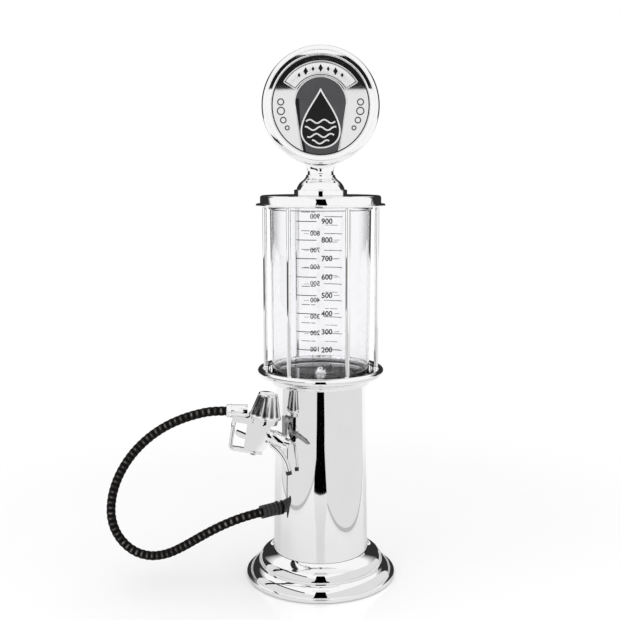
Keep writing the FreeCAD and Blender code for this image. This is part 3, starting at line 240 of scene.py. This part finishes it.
def tinted(colour, rough, grain, grain_scale=900.0, mottle=0.85):
    """Moulded plastic or rubber: fine grain, faint mottling and uneven sheen."""
    dark = tuple(c * mottle for c in colour)

    def build(n, shader):
        cloud = n.noise(70, 4, 0.6)
        n.link(n.ramp(cloud, ((0.35, dark), (0.7, colour))), shader.inputs["Base Color"])
        n.link(n.spread(cloud, rough * 0.85, rough * 1.2), shader.inputs["Roughness"])
        add_bump(n, shader, n.noise(grain_scale, 3), grain)
    return build


def ribbed_rubber(n, shader):
    """Black hose rubber with a painted highlight: pale on the crests of its ribs that face front
    and up, mottled by noise.
    """
    rib = n.add("ShaderNodeAttribute", attribute_name="rib").outputs["Fac"]
    painted_crest_sheen = n.maths("MULTIPLY", rib, n.spread(n.noise(260, 4, 0.6), 0.55, 1.25))
    # painted highlight: the colour rises from black to pale grey where the crest highlight is
    # strongest
    n.link(n.ramp(painted_crest_sheen, ((0.25, (0.003, 0.0025, 0.0025)), (0.72, (0.018, 0.016, 0.015)),
                         (1.0, (0.24, 0.225, 0.215)))), shader.inputs["Base Color"])
    n.link(n.spread(painted_crest_sheen, 0.65, 0.32), shader.inputs["Roughness"])
    add_bump(n, shader, n.noise(900, 3), 0.00003)


def fluted_chrome(n, shader):
    """Chrome on a casting: bright on the ribs, with painted shade darkening the hollows between
    them, which are also rougher.
    """
    depth = n.add("ShaderNodeAttribute", attribute_name="recess").outputs["Fac"]
    shade_and_roughness = n.maths("MULTIPLY", depth, n.spread(n.noise(160, 4, 0.6), 0.7, 1.2))
    # painted shade: deep in the flutes the colour falls to near black
    n.link(n.ramp(shade_and_roughness, ((0.42, 0.90), (0.66, 0.30), (0.90, 0.035))), shader.inputs["Base Color"])
    n.link(n.spread(shade_and_roughness, 0.05, 0.30), shader.inputs["Roughness"])
    add_bump(n, shader, n.noise(40, 3), 0.0001)


def clear_sheet(n, shader):
    """Clear acrylic: faint flow haze in the colour and roughness."""
    flow = n.noise(1.0, 3, 0.5, stretch=(30, 30, 9))
    n.link(n.ramp(flow, ((0.3, (0.955, 0.955, 0.965)), (0.7, (0.975, 0.975, 0.985)))),
           shader.inputs["Base Color"])
    n.link(n.spread(flow, 0.015, 0.05), shader.inputs["Roughness"])
    add_bump(n, shader, flow, 0.00002)


CHROME = material("chrome_plate", polished(0.94, 0.02, 0.075, 0.00006), Metallic=1.0)
CAST = material("cast_chrome", polished(0.92, 0.03, 0.12, 0.00012), Metallic=1.0)
FLUTED = material("fluted_chrome", fluted_chrome, Metallic=1.0)
# painted shade: the cradle plate is chrome, given a dark 0.34 tone for the dark it shows
DARK_PAINTED_CHROME = material("cradle_chrome_painted_dark", polished(0.34, 0.05, 0.16, 0.00012), Metallic=1.0)
SIGN = material("sign_chrome", polished(0.80, 0.03, 0.10, 0.00003), Metallic=1.0)
STEEL = material("plain_steel", brushed(0.62, 0.32), Metallic=1.0)
BRASS = material("machined_brass", brushed(0.62, 0.28), Metallic=1.0)
INK = material("scale_ink", tinted((0.06, 0.06, 0.065), 0.5, 0.00001))
PALE_INK = material("worn_scale_ink", tinted((0.18, 0.18, 0.185), 0.5, 0.00001))
ENAMEL = material("dark_enamel", tinted((0.006, 0.006, 0.007), 0.25, 0.00002),
                  Specular_IOR_Level=0.2)
PANEL = material("sign_panel", tinted((0.085, 0.085, 0.09), 0.3, 0.00003), Metallic=0.4)
SATIN = material("satin_chrome", polished(0.88, 0.28, 0.42, 0.00003), Metallic=0.55)
DARK_LINE = material("darkened_line", tinted((0.10, 0.10, 0.105), 0.35, 0.00002), Metallic=0.6)
BLACK = material("moulded_black", tinted((0.018, 0.018, 0.019), 0.42, 0.00003))
RUBBER = material("soft_black", tinted((0.03, 0.03, 0.031), 0.7, 0.00006))
HOSE_BLACK = material("hose_black", ribbed_rubber, Specular_IOR_Level=0.06)
ACRYLIC = material("clear_acrylic", clear_sheet, Transmission_Weight=1.0, IOR=1.45,
                   Specular_IOR_Level=0.5)
FLEX = material("clear_tube", tinted((0.80, 0.82, 0.82), 0.3, 0.00003), Transmission_Weight=0.6)

LOOKS = {
    "chrome": CHROME,
    "sign_plate": SIGN,
    "steel": STEEL,
    "brass": BRASS,
    "clear_plastic": ACRYLIC,
    "clear_tube": FLEX,
    "black_plastic": BLACK,
    "hose_black": BLACK,
    "black_rubber": RUBBER,
}
NODE_LOOKS = {
    "nozzle_body": CAST,
    "trigger": CAST,
    "spout_collar": CAST,
    "nozzle_cradle": CAST,
    "cradle_plate": DARK_PAINTED_CHROME,
}


def dress_frame():
    """Give each CAD node its own look, or its slot's."""
    slots = {entry["node"]: entry["material_slot"] for entry in frame["record"]["subparts"]}
    for name, thing in nodes.items():
        look = NODE_LOOKS.get(name, LOOKS[slots[name]])
        thing.data.materials.clear()
        thing.data.materials.append(look)


# ---------------------------------------------------------------- camera, light and floor

def make_camera():
    """A camera straight in front of the axis, looking slightly down."""
    data = bpy.data.cameras.new("photo_view")
    data.lens = CAMERA_LENS
    data.shift_x = CAMERA_SHIFT
    camera = bpy.data.objects.new("photo_view", data)
    camera.location = (0, -CAMERA_DISTANCE, CAMERA_HEIGHT)
    camera.rotation_euler = (math.pi / 2 - CAMERA_PITCH, 0, 0)
    bpy.context.scene.collection.objects.link(camera)
    bpy.context.scene.camera = camera


def make_world():
    """A white light tent; shiny surfaces also see a dark gap low down at its back."""
    world = bpy.data.worlds.new("light_tent")
    bpy.context.scene.world = world
    world.use_nodes = True
    n = Nodes(world.node_tree)
    split = n.add("ShaderNodeSeparateXYZ")
    n.link(n.add("ShaderNodeTexCoord").outputs["Generated"], split.inputs[0])
    x, y, z = split.outputs
    turn = n.maths("MULTIPLY", n.maths("ARCTAN2", x, n.maths("MULTIPLY", y, -1.0)), 180 / math.pi)
    rise = n.maths("MULTIPLY", n.maths("ARCSINE", z), 180 / math.pi)

    def soft_step(value, edge, blur):
        """0 below the edge, 1 above it, over blur degrees."""
        past = n.maths("SUBTRACT", value, edge)
        return n.maths("MULTIPLY_ADD", past, 1.0 / blur, 0.5, clamp=True)

    gap_side, gap_foot, gap_top = 113.0, -7.0, 32.0
    dark = n.maths("MULTIPLY", soft_step(n.maths("ABSOLUTE", turn), gap_side, 8.0),
                   soft_step(rise, gap_foot, 4.0))
    dark = n.maths("MULTIPLY", dark, n.maths("SUBTRACT", 1.0, soft_step(rise, gap_top, 12.0)))
    path = n.add("ShaderNodeLightPath")
    dark = n.maths("MULTIPLY", dark, n.maths("MINIMUM", path.outputs["Glossy Depth"], 1.0))
    seen = n.add("ShaderNodeBackground")
    seen.inputs["Color"].default_value = (1, 1, 1, 1)
    n.link(n.maths("MULTIPLY_ADD", dark, -0.97, 1.0), seen.inputs["Strength"])
    output = n.add("ShaderNodeOutputWorld")
    n.link(seen.outputs[0], output.inputs["Surface"])
    bpy.context.scene.view_settings.view_transform = "Standard"


def card(name, outline, strength):
    """A studio card that only shiny surfaces see, and only from its front, which is the side
    the outline runs counter-clockwise on."""
    mesh = bpy.data.meshes.new(name)
    mesh.from_pydata([tuple(p) for p in outline], [], [tuple(range(len(outline)))])
    board = bpy.data.objects.new(name, mesh)
    bpy.context.scene.collection.objects.link(board)
    board.visible_camera = False
    board.visible_diffuse = False
    board.visible_shadow = False
    board.visible_transmission = False
    look = bpy.data.materials.new(name)
    look.use_nodes = True
    n = Nodes(look.node_tree)
    glow = n.add("ShaderNodeEmission")
    glow.inputs["Strength"].default_value = strength
    mix = n.add("ShaderNodeMixShader")
    direct = n.maths("LESS_THAN", n.add("ShaderNodeLightPath").outputs["Glossy Depth"], 0.5)
    unseen = n.maths("MAXIMUM", n.add("ShaderNodeNewGeometry").outputs["Backfacing"], direct)
    n.link(unseen, mix.inputs[0])
    n.link(glow.outputs[0], mix.inputs[1])
    n.link(n.add("ShaderNodeBsdfTransparent").outputs[0], mix.inputs[2])
    n.link(mix.outputs[0], n.add("ShaderNodeOutputMaterial").inputs["Surface"])
    mesh.materials.append(look)


def wall_card(name, azimuth, distance, shape, strength):
    """An upright card facing the axis; azimuth runs from the front towards +X, in degrees, and
    the shape is (sideways, height) points, counter-clockwise as the axis sees them."""
    turn = math.radians(azimuth)
    out = Vector((math.sin(turn), -math.cos(turn), 0))
    side = Vector((-math.cos(turn), -math.sin(turn), 0))
    card(name, [out * distance + side * across + Vector((0, 0, height))
                for across, height in shape], strength)


def box_shape(left, right, low, high):
    """A card's rectangle, counter-clockwise."""
    return ((left, low), (right, low), (right, high), (left, high))


def make_cards():
    """Pale grey panels at both sides, each on a darker foot, and the dark slot, bar and hood round
    the camera."""
    foot, cut, top = 0.005, 0.06, 0.21
    for name, azimuth, distance, near, trimmed, far in (("right", 66, 0.183, 0.285, 0.225, -0.35),
                                                        ("left", -65, 0.255, -0.45, -0.33, 0.24)):
        band = ((trimmed, 0.0), (far, 0.0), (far, foot), (trimmed, foot))
        board = ((trimmed, foot), (far, foot), (far, top), (near, top), (near, cut))
        if near > far:
            band, board = tuple(reversed(band)), tuple(reversed(board))
        wall_card(f"{name}_panel", azimuth, distance, board, 0.78)
        wall_card(f"{name}_panel_foot", azimuth, distance, band, 0.50)
    slot = ((-0.090, 0.0), (0.090, 0.0), (0.082, 0.025), (0.058, 0.045), (0.050, 0.12),
            (0.050, 0.385), (-0.050, 0.385), (-0.050, 0.12), (-0.058, 0.045), (-0.082, 0.025))
    wall_card("dark_slot", 0, 0.33, slot, 0.0)
    wall_card("dark_bar", -65, 0.265, box_shape(-0.22, 0.20, 0.215, 0.275), 0.03)
    wall_card("dark_hood", 0, 0.29, box_shape(-0.10, 0.10, 0.466, 0.503), 0.01)


def make_floor():
    """White floor with a faint gloss, which fades to bare white away from the object."""
    corners = [(-3, -3, 0), (3, -3, 0), (3, 3, 0), (-3, 3, 0)]
    mesh = mesh_from("studio_floor", corners, [(0, 1, 2, 3)])
    floor = bpy.data.objects.new("studio_floor", mesh)
    bpy.context.scene.collection.objects.link(floor)

    def build(n, shader):
        n.link(n.ramp(n.noise(3, 2), ((0.3, 0.94), (0.7, 0.96))), shader.inputs["Base Color"])
        path = n.add("ShaderNodeLightPath")
        seen = n.maths("MAXIMUM", path.outputs["Is Camera Ray"],
                       path.outputs["Is Transmission Ray"])
        n.link(n.maths("MULTIPLY", seen, 0.14), shader.inputs["Emission Strength"])
        reach = n.add("ShaderNodeVectorMath", operation="LENGTH")
        n.link(n.add("ShaderNodeTexCoord").outputs["Object"], reach.inputs[0])
        far = n.add("ShaderNodeMapRange", interpolation_type="SMOOTHSTEP")
        far.inputs["From Min"].default_value = 0.16
        far.inputs["From Max"].default_value = 0.55
        n.link(reach.outputs["Value"], far.inputs["Value"])
        mix = n.add("ShaderNodeMixShader")
        n.link(far.outputs["Result"], mix.inputs[0])
        n.link(shader.outputs["BSDF"], mix.inputs[1])
        n.link(n.add("ShaderNodeEmission").outputs[0], mix.inputs[2])
        n.link(mix.outputs[0], n.tree.nodes["Material Output"].inputs["Surface"])

    mesh.materials.append(material("floor_white", build, Roughness=0.12, Specular_IOR_Level=0.4,
                                   Emission_Color=(1, 1, 1, 1)))


def make_lights():
    """Two broad soft lights that only shape the diffuse parts."""
    for name, place, power in (("left_soft", (-0.9, -0.9, 1.1), 0.8),
                               ("top_soft", (0.3, 0.1, 1.5), 1.0)):
        data = bpy.data.lights.new(name, "AREA")
        data.energy = power
        data.size = 0.9
        data.specular_factor = 0.0
        lamp = bpy.data.objects.new(name, data)
        lamp.location = place
        aim = Vector((0, 0, 0.2)) - Vector(place)
        lamp.rotation_euler = aim.to_track_quat("-Z", "Y").to_euler()
        lamp.visible_glossy = False
        bpy.context.scene.collection.objects.link(lamp)


# ---------------------------------------------------------------- hose

HOSE_ROUTE = (
    (-53.26, -30.75, 69.37),
    (-63.64, -36.74, 68.74),
    (-78.5, -41.5, 65.2),
    (-95.0, -42.0, 57.6),
    (-110.5, -39.6, 47.9),
    (-125.0, -35.8, 38.0),
    (-139.5, -31.8, 30.0),
    (-155.6, -28.4, 26.6),
    (-171.8, -26.0, 31.2),
    (-184.5, -24.6, 44.2),
    (-190.2, -24.3, 61.0),
    (-189.2, -24.7, 79.0),
    (-184.2, -25.7, 96.0),
    (-176.0, -27.1, 112.0),
    (-165.2, -28.8, 126.5),
    (-152.0, -31.2, 139.3),
    (-137.2, -34.0, 149.8),
    (-121.0, -36.9, 157.8),
    (-105.0, -39.1, 163.0),
    (-93.5, -40.0, 165.16),
    (-82.3, -40.0, 165.16),
)


def spline_points(route):
    """Points read from one smooth NURBS line through the route."""
    curve = bpy.data.curves.new("hose_line", "CURVE")
    curve.dimensions = "3D"
    spline = curve.splines.new("NURBS")
    spline.points.add(len(route) - 1)
    for point, place in zip(spline.points, route):
        point.co = (*(c * MM for c in place), 1.0)
    spline.order_u = 3
    spline.use_endpoint_u = True
    spline.resolution_u = 24
    holder = bpy.data.objects.new("hose_line", curve)
    bpy.context.scene.collection.objects.link(holder)
    bpy.context.view_layer.update()
    line = bpy.data.meshes.new_from_object(holder)
    points = [vertex.co.copy() for vertex in line.vertices]
    bpy.data.objects.remove(holder)
    bpy.data.meshes.remove(line)
    return points


def even_points(points, step):
    """The same line with points a step apart."""
    lengths = [0.0]
    for a, b in zip(points, points[1:]):
        lengths.append(lengths[-1] + (b - a).length)
    count = round(lengths[-1] / step)
    result = []
    segment = 0
    for index in range(count + 1):
        want = lengths[-1] * index / count
        while segment < len(points) - 2 and lengths[segment + 1] < want:
            segment += 1
        span = lengths[segment + 1] - lengths[segment]
        share = (want - lengths[segment]) / span if span else 0.0
        result.append(points[segment].lerp(points[segment + 1], share))
    return result, lengths[-1]


def make_hose():
    """Ribbed hose: round ribs with a narrow groove between them, and a painted highlight on the
    crests in front.
    """
    points, length = even_points(spline_points(HOSE_ROUTE), HOSE_RIB_PITCH / HOSE_RIB_STEPS)
    sides = 28
    rings, crest_highlight = [], []
    side = (points[1] - points[0]).cross(Vector((0, 1, 0))).normalized()
    for index, point in enumerate(points):
        before, after = points[max(index - 1, 0)], points[min(index + 1, len(points) - 1)]
        along = (after - before).normalized()
        side = (side - along * side.dot(along)).normalized()
        other = along.cross(side)
        swell = math.sin(math.pi * ((index / HOSE_RIB_STEPS) % 1.0)) ** 0.7
        radius = HOSE_DIAMETER / 2 * (0.89 + 0.11 * swell)
        for step in range(sides):
            angle = 2 * math.pi * step / sides
            out = side * math.cos(angle) + other * math.sin(angle)
            # painted highlight: crests facing front and up get the most of it
            faced = max(0.0, out.z * 0.35 - out.y * 0.94)
            crest_highlight.append(swell ** 1.5 * (0.42 + 0.58 * faced ** 2))
            rings.append(point + out * radius)
    rings = [rings[start:start + sides] for start in range(0, len(rings), sides)]
    mesh = mesh_from("ribbed_hose", *ring_stack(rings))
    mesh.attributes.new("rib", "FLOAT", "POINT").data.foreach_set("value", crest_highlight)
    hose = new_piece("ribbed_hose", mesh, None, HOSE_BLACK)
    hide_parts("hose")
    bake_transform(hose)


def make_spring():
    """The plunger's spring against the bonnet, copied from the CAD coil as it stands."""
    coil = frame["nodes"]["valve_spring"].data.copy()
    spring = new_piece("valve_coil", coil, None, STEEL)
    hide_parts("valve_spring")
    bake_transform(spring)


# ---------------------------------------------------------------- canister print

SCALE_TOP = 330.6 * MM
SCALE_STEP = 15.8 * MM
SCALE_HALF_LINE = 0.36 * MM
SCALE_VALUES = (900, 800, 700, 600, 500, 400, 300, 200, 100)


def wrap_on_canister(x, z, front, lift=0.00012):
    """Lay a flat print point on the canister's outside, seen the right way round from outside."""
    share = (z - CAN_LOW.z) / (CAN_HIGH.z - CAN_LOW.z)
    radius = CAN_FOOT_RADIUS + (CAN_TOP_RADIUS - CAN_FOOT_RADIUS) * share + lift
    angle = x / radius
    if front:
        return Vector((radius * math.sin(angle), -radius * math.cos(angle), z))
    return Vector((-radius * math.sin(angle), radius * math.cos(angle), z))


def bar(x0, x1, z0, z1, steps=6):
    """Corners of a flat bar cut into steps, as vertices and faces."""
    vertices = []
    faces = []
    for index in range(steps + 1):
        x = x0 + (x1 - x0) * index / steps
        vertices += [(x, z0), (x, z1)]
    for index in range(steps):
        a = index * 2
        faces.append((a, a + 2, a + 3, a + 1))
    return vertices, faces


def text_mesh(text, height, middle_x, middle_z):
    """A number as flat vertices and faces."""
    curve = bpy.data.curves.new("digits", "FONT")
    curve.body = text
    curve.size = height
    curve.align_x = "CENTER"
    curve.align_y = "CENTER"
    curve.resolution_u = 3
    curve.offset = height * 0.03
    holder = bpy.data.objects.new("digits", curve)
    bpy.context.scene.collection.objects.link(holder)
    bpy.context.view_layer.update()
    flat = bpy.data.meshes.new_from_object(holder)
    vertices = [(v.co.x + middle_x, v.co.y + middle_z) for v in flat.vertices]
    faces = [tuple(p.vertices) for p in flat.polygons]
    bpy.data.objects.remove(holder)
    bpy.data.meshes.remove(flat)
    return vertices, faces


def make_scale(side, front, look):
    """Graduation marks and numbers on one side of the canister."""
    parts = []
    for index, value in enumerate(SCALE_VALUES):
        z = SCALE_TOP - SCALE_STEP * index
        between = z + SCALE_STEP / 2
        full, fine, finest = (SCALE_HALF_LINE * share for share in (1.0, 0.8, 0.6))
        parts.append(bar(-21.5 * MM, -3.5 * MM, z - full, z + full, 10))
        parts.append(text_mesh(str(value), 6.4 * MM, 5.4 * MM, z))
        parts.append(bar(-16.8 * MM, -9.1 * MM, between - fine, between + fine, 5))
        parts.append(bar(-8.2 * MM, -4.4 * MM, between - fine, between + fine, 3))
        if index:
            parts.append(bar(11.5 * MM, 16.5 * MM, z - finest, z + finest, 3))
    vertices, faces = [], []
    for flat, shapes in parts:
        offset = len(vertices)
        vertices += [wrap_on_canister(x, z, front) for x, z in flat]
        faces += [tuple(offset + i for i in shape) for shape in shapes]
    mesh = mesh_from(f"scale_{side}", vertices, faces)
    new_piece(f"scale_{side}", mesh, "pump_body", look)


# ---------------------------------------------------------------- sign plates

def sign_point(x, z, front, lift):
    """A point on the sign plate, from its own centre, seen the right way round from outside."""
    if front:
        return Vector((x, FRONT_PLATE_Y - lift, GLOBE_MIDDLE + z))
    return Vector((-x, BACK_PLATE_Y + lift, GLOBE_MIDDLE + z))


def flat_strip(outer, inner):
    """Faces between two lines with the same number of points."""
    vertices = [*outer, *inner]
    count = len(outer)
    faces = [(i, i + 1, count + i + 1, count + i) for i in range(count - 1)]
    return vertices, faces


def arc_line(radius, start, finish, steps, middle=(0.0, 0.0)):
    """Points round an arc; degrees run from straight up, clockwise."""
    result = []
    for index in range(steps + 1):
        angle = math.radians(start + (finish - start) * index / steps)
        result.append((middle[0] + radius * math.sin(angle), middle[1] + radius * math.cos(angle)))
    return result


def ring_band(radius, width, middle=(0.0, 0.0), start=0.0, finish=360.0, steps=64):
    """A flat circular band."""
    return flat_strip(arc_line(radius + width / 2, start, finish, steps, middle),
                      arc_line(radius - width / 2, start, finish, steps, middle))


def fan(outline):
    """A filled outline round its middle."""
    middle = (sum(p[0] for p in outline) / len(outline), sum(p[1] for p in outline) / len(outline))
    count = len(outline)
    return [*outline, middle], [(i, (i + 1) % count, count) for i in range(count)]


def art_piece(name, shapes, front, lift, look):
    """Join flat shapes into one flat inlay, lifted a little off the plate."""
    vertices, faces = [], []
    for flat, polygons in shapes:
        offset = len(vertices)
        vertices += [sign_point(x * MM, z * MM, front, lift) for x, z in flat]
        faces += [tuple(offset + i for i in polygon) for polygon in polygons]
    mesh = mesh_from(name, vertices, faces, smooth=False)
    return new_piece(name, mesh, "filler_stopper", look)


def bead(name, lines, radius, front, look, height=0.0):
    """Round raised beads along lines on the sign plate, or at a height in front of it."""
    vertices, faces = [], []
    sides = 8
    for points in lines:
        closed = math.hypot(points[0][0] - points[-1][0], points[0][1] - points[-1][1]) < 1e-6
        rings = []
        for index, point in enumerate(points):
            first, last = index == 0, index == len(points) - 1
            before = points[-2 if closed else 0] if first else points[index - 1]
            after = points[1 if closed else -1] if last else points[index + 1]
            dx, dz = after[0] - before[0], after[1] - before[1]
            size = math.hypot(dx, dz) or 1.0
            nx, nz = -dz / size, dx / size
            ring = []
            for step in range(sides):
                angle = 2 * math.pi * step / sides
                across, lift = radius * math.cos(angle), radius * 0.8 * math.sin(angle)
                ring.append(sign_point((point[0] + nx * across) * MM, (point[1] + nz * across) * MM,
                                       front, (height + lift) * MM))
            rings.append(ring)
        corners, skins = ring_stack(rings, closed_ends=not closed)
        offset = len(vertices)
        vertices += corners
        faces += [tuple(offset + i for i in skin) for skin in skins]
    return new_piece(name, mesh_from(name, vertices, faces), "filler_stopper", look)


def crowned_band(name, inner, outer, start, finish, rise, front, look):
    """A raised banner, rounded over from its inner edge to its outer edge."""
    slices, steps = 48, 8
    section = []
    for step in range(steps + 1):
        share = step / steps
        section.append((inner + (outer - inner) * share,
                        rise * (0.35 + 0.65 * math.sin(math.pi * share))))
    section += [(outer, 0.0), (inner, 0.0)]
    rings = []
    for index in range(slices + 1):
        angle = math.radians(start + (finish - start) * index / slices)
        rings.append([sign_point(radius * math.sin(angle) * MM, radius * math.cos(angle) * MM,
                                 front, lift * MM) for radius, lift in section])
    mesh = mesh_from(name, *ring_stack(rings))
    return new_piece(name, mesh, "filler_stopper", look)


def drop_outline(height, width, middle, steps=40):
    """A plain drop, point up."""
    result = []
    for index in range(steps):
        angle = 2 * math.pi * index / steps
        x = math.sin(angle) * (math.sin(angle / 2) ** 1.5) * width / 1.3
        result.append((middle[0] + x, middle[1] + math.cos(angle) * height / 2))
    return result


def make_sign(side, front):
    """A dark arched panel with a drop and waves, a blank banner over it and rows of rings."""
    spring, half, foot = 2.0, 23.0, 15.0
    arch = arc_line(half, -90, 90, 32, (0, spring))
    arch += [(foot, -39.5), (8, -41.2), (0, -42.0), (-8, -41.2), (-foot, -39.5)]
    art_piece(f"sign_panel_{side}", [fan(arch)], front, 0.00012, PANEL)
    # painted shadow: a black strip down the panel's left side, where the panel's shadow falls
    shade = [(-22.6, 6), (-18.6, 6), (-17.5, -14), (-12.5, -40.0), (-15.0, -39.5), (-19.2, -12)]
    art_piece(f"sign_panel_shade_{side}", [fan(shade)], front, 0.00018, ENAMEL)

    border = [ring_band(41.9, 1.0, steps=96), ring_band(39.2, 0.5, start=-62, finish=62)]
    border.append(flat_strip(arc_line(41.4, -66, 66, 48), arc_line(39.9, -66, 66, 48)))
    art_piece(f"sign_border_{side}", border, front, 0.00022, ENAMEL)
    crowned_band(f"sign_banner_{side}", 26.6, 36.4, -56, 56, 0.9, front, SATIN)
    rim = [arc_line(r, -58, 58, 48) for r in (25.4, 37.4)]
    rim += [[arc_line(r, turn, turn, 1)[0] for r in (25.4, 31.4, 37.4)] for turn in (-58, 58)]
    bead(f"sign_banner_rim_{side}", rim, 0.55, front, SIGN)
    marks = []
    for turn in (-36, -24, -12, 0, 12, 24, 36):
        middle = arc_line(31.5, turn, turn, 1)[0]
        size = 3.3 if turn % 24 == 0 else 2.1
        marks.append(fan([(middle[0], middle[1] + size), (middle[0] + size * 0.62, middle[1]),
                          (middle[0], middle[1] - size), (middle[0] - size * 0.62, middle[1])]))
    art_piece(f"sign_diamonds_{side}", marks, front, 0.00096, ENAMEL)

    bead(f"sign_bezel_seam_{side}", [arc_line(46.9, 0, 360, 120)], 0.45, front, CHROME, height=3.95)

    studs = []
    for hand in (-1, 1):
        for z, radius in ((3.0, 2.6), (-4.6, 3.1), (-12.4, 2.4), (-19.0, 1.7)):
            reach = math.sqrt(max(34.6 ** 2 - z ** 2, 0))
            studs.append(arc_line(radius, 0, 360, 24, (hand * reach, z)))
    bead(f"sign_rings_{side}", studs, 0.55, front, DARK_LINE)

    drop = drop_outline(50.0, 31.0, (0, -11.0), 56)
    art_piece(f"sign_drop_{side}", [fan(drop)], front, 0.0002, ENAMEL)
    lines = [[*drop, drop[0]]]
    for level, (reach, z) in enumerate(((12.6, -13.5), (13.6, -19.5), (11.6, -25.5), (7.4, -31.0))):
        lines.append([(reach * k / 20, z + 1.5 * math.sin(reach * k / 20 * 0.5 + level * 1.7))
                      for k in range(-20, 21)])
    bead(f"sign_drop_lines_{side}", lines, 0.8, front, SATIN)
    edge = [(-foot - 1.5, -37.0), *arc_line(half - 0.6, -90, 90, 32, (0, spring)),
            (foot + 1.5, -37.0)]
    bead(f"sign_arch_{side}", [edge], 0.6, front, SIGN)


# ---------------------------------------------------------------- nozzle bonnet

def nozzle_point(x, y, z):
    """A point in the nozzle's own tilted frame, in millimetres, as a point in the shared frame."""
    turned = Vector((x * math.cos(NOZZLE_TILT) + z * math.sin(NOZZLE_TILT), y,
                     z * math.cos(NOZZLE_TILT) - x * math.sin(NOZZLE_TILT)))
    return (Vector(NOZZLE_ORIGIN) + turned) * MM


def make_bonnet():
    """The valve's bonnet: a cone with twelve scooped flutes that run out above a plain foot, and a
    chamber for the spring inside."""
    foot, height, wide, narrow = 10.6, 21.8, 14.4, 8.4
    roof, chamber, flutes, scoop_depth = 16.8, 5.0, 12, 1.35
    # each level is a height, a radius and how deep the flutes are there
    levels = [(roof, 0.4, 0.0), (roof, chamber, 0.0), (0.0, chamber, 0.0)]
    levels += [(0.0, 13.9, 0.0), (0.35, wide, 0.0), (1.9, 14.1, 0.0), (2.1, 13.9, 0.25),
               (2.5, 13.75, 0.8)]
    levels += [(2.5 + 17.0 * k / 14, 13.75 + (9.05 - 13.75) * k / 14, 1.0 - 0.35 * k / 14)
               for k in range(1, 15)]
    levels += [(20.2, 8.85, 0.45), (20.9, 8.6, 0.12), (21.2, narrow, 0.0),
               (21.6, narrow - 0.45, 0.0), (height, narrow - 1.3, 0.0), (height, 0.4, 0.0)]
    sides = 144
    rings, recess = [], []
    for rise, radius, depth in levels:
        ring = []
        for step in range(sides):
            angle = 2 * math.pi * step / sides
            scoop = abs(math.cos(flutes / 2 * angle)) ** 0.8
            reach = radius - scoop_depth * depth * scoop * radius / wide
            # how deep each point lies in a flute; fluted_chrome paints shade from this
            recess.append(depth * scoop)
            ring.append(nozzle_point(VALVE_X + reach * math.cos(angle), reach * math.sin(angle),
                                     foot + rise))
        rings.append(ring)
    mesh = mesh_from("fluted_bonnet", *ring_stack(rings))
    mesh.attributes.new("recess", "FLOAT", "POINT").data.foreach_set("value", recess)
    piece = new_piece("fluted_bonnet", mesh, "nozzle", FLUTED)
    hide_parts("bonnet")


def make_guard():
    """The trigger guard: a rounded strip, down behind the fingers and forward under the body."""
    back, thick, wide, corner, top, low, front = -22.4, 3.8, 7.0, 5.0, 3.0, -23.2, 8.0
    middle, bend = thick / 2, corner - thick / 2
    line = [(back + middle, top), (back + middle, -4.0), (back + middle, -12.0)]
    for step in range(13):
        angle = math.pi + math.pi / 2 * step / 12
        line.append((back + corner + bend * math.cos(angle), low + corner + bend * math.sin(angle)))
    line += [(-10.0, low + middle), (0.0, low + middle), (front, low + middle)]
    rings = []
    for index, (x, z) in enumerate(line):
        before, after = line[max(index - 1, 0)], line[min(index + 1, len(line) - 1)]
        dx, dz = after[0] - before[0], after[1] - before[1]
        size = math.hypot(dx, dz)
        nx, nz = dz / size, -dx / size
        ring = []
        for step in range(32):
            angle = 2 * math.pi * step / 32
            bulge = math.copysign(abs(math.cos(angle)) ** 0.75, math.cos(angle)) * thick / 2
            across = math.copysign(abs(math.sin(angle)) ** 0.6, math.sin(angle)) * wide / 2
            ring.append(nozzle_point(x + nx * bulge, across, z + nz * bulge))
        rings.append(ring)
    piece = new_piece("guard_strip", mesh_from("guard_strip", *ring_stack(rings)), "nozzle",
                      CAST)
    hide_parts("trigger_guard")


def soften_edges():
    """Round the edges of the cast parts."""
    for name, width in (("nozzle_body", 1.3), ("trigger", 0.6),
                        ("nozzle_cradle", 0.5), ("spout_collar", 0.4), ("top_cap", 0.3)):
        thing = nodes[name]
        weld = thing.modifiers.new("weld", "WELD")
        weld.merge_threshold = 0.000005
        bevel = thing.modifiers.new("edge", "BEVEL")
        bevel.width = width * MM
        bevel.segments = 4
        bevel.limit_method = "ANGLE"
        bevel.angle_limit = math.radians(35)
        bevel.use_clamp_overlap = True
        bevel.harden_normals = True


# ---------------------------------------------------------------- build

make_camera()
make_world()
make_cards()
make_lights()
make_floor()
dress_frame()
soften_edges()
make_hose()
make_spring()
make_bonnet()
make_guard()
make_scale("front", True, INK)
make_scale("back", False, PALE_INK)
make_sign("front", True)
make_sign("back", False)
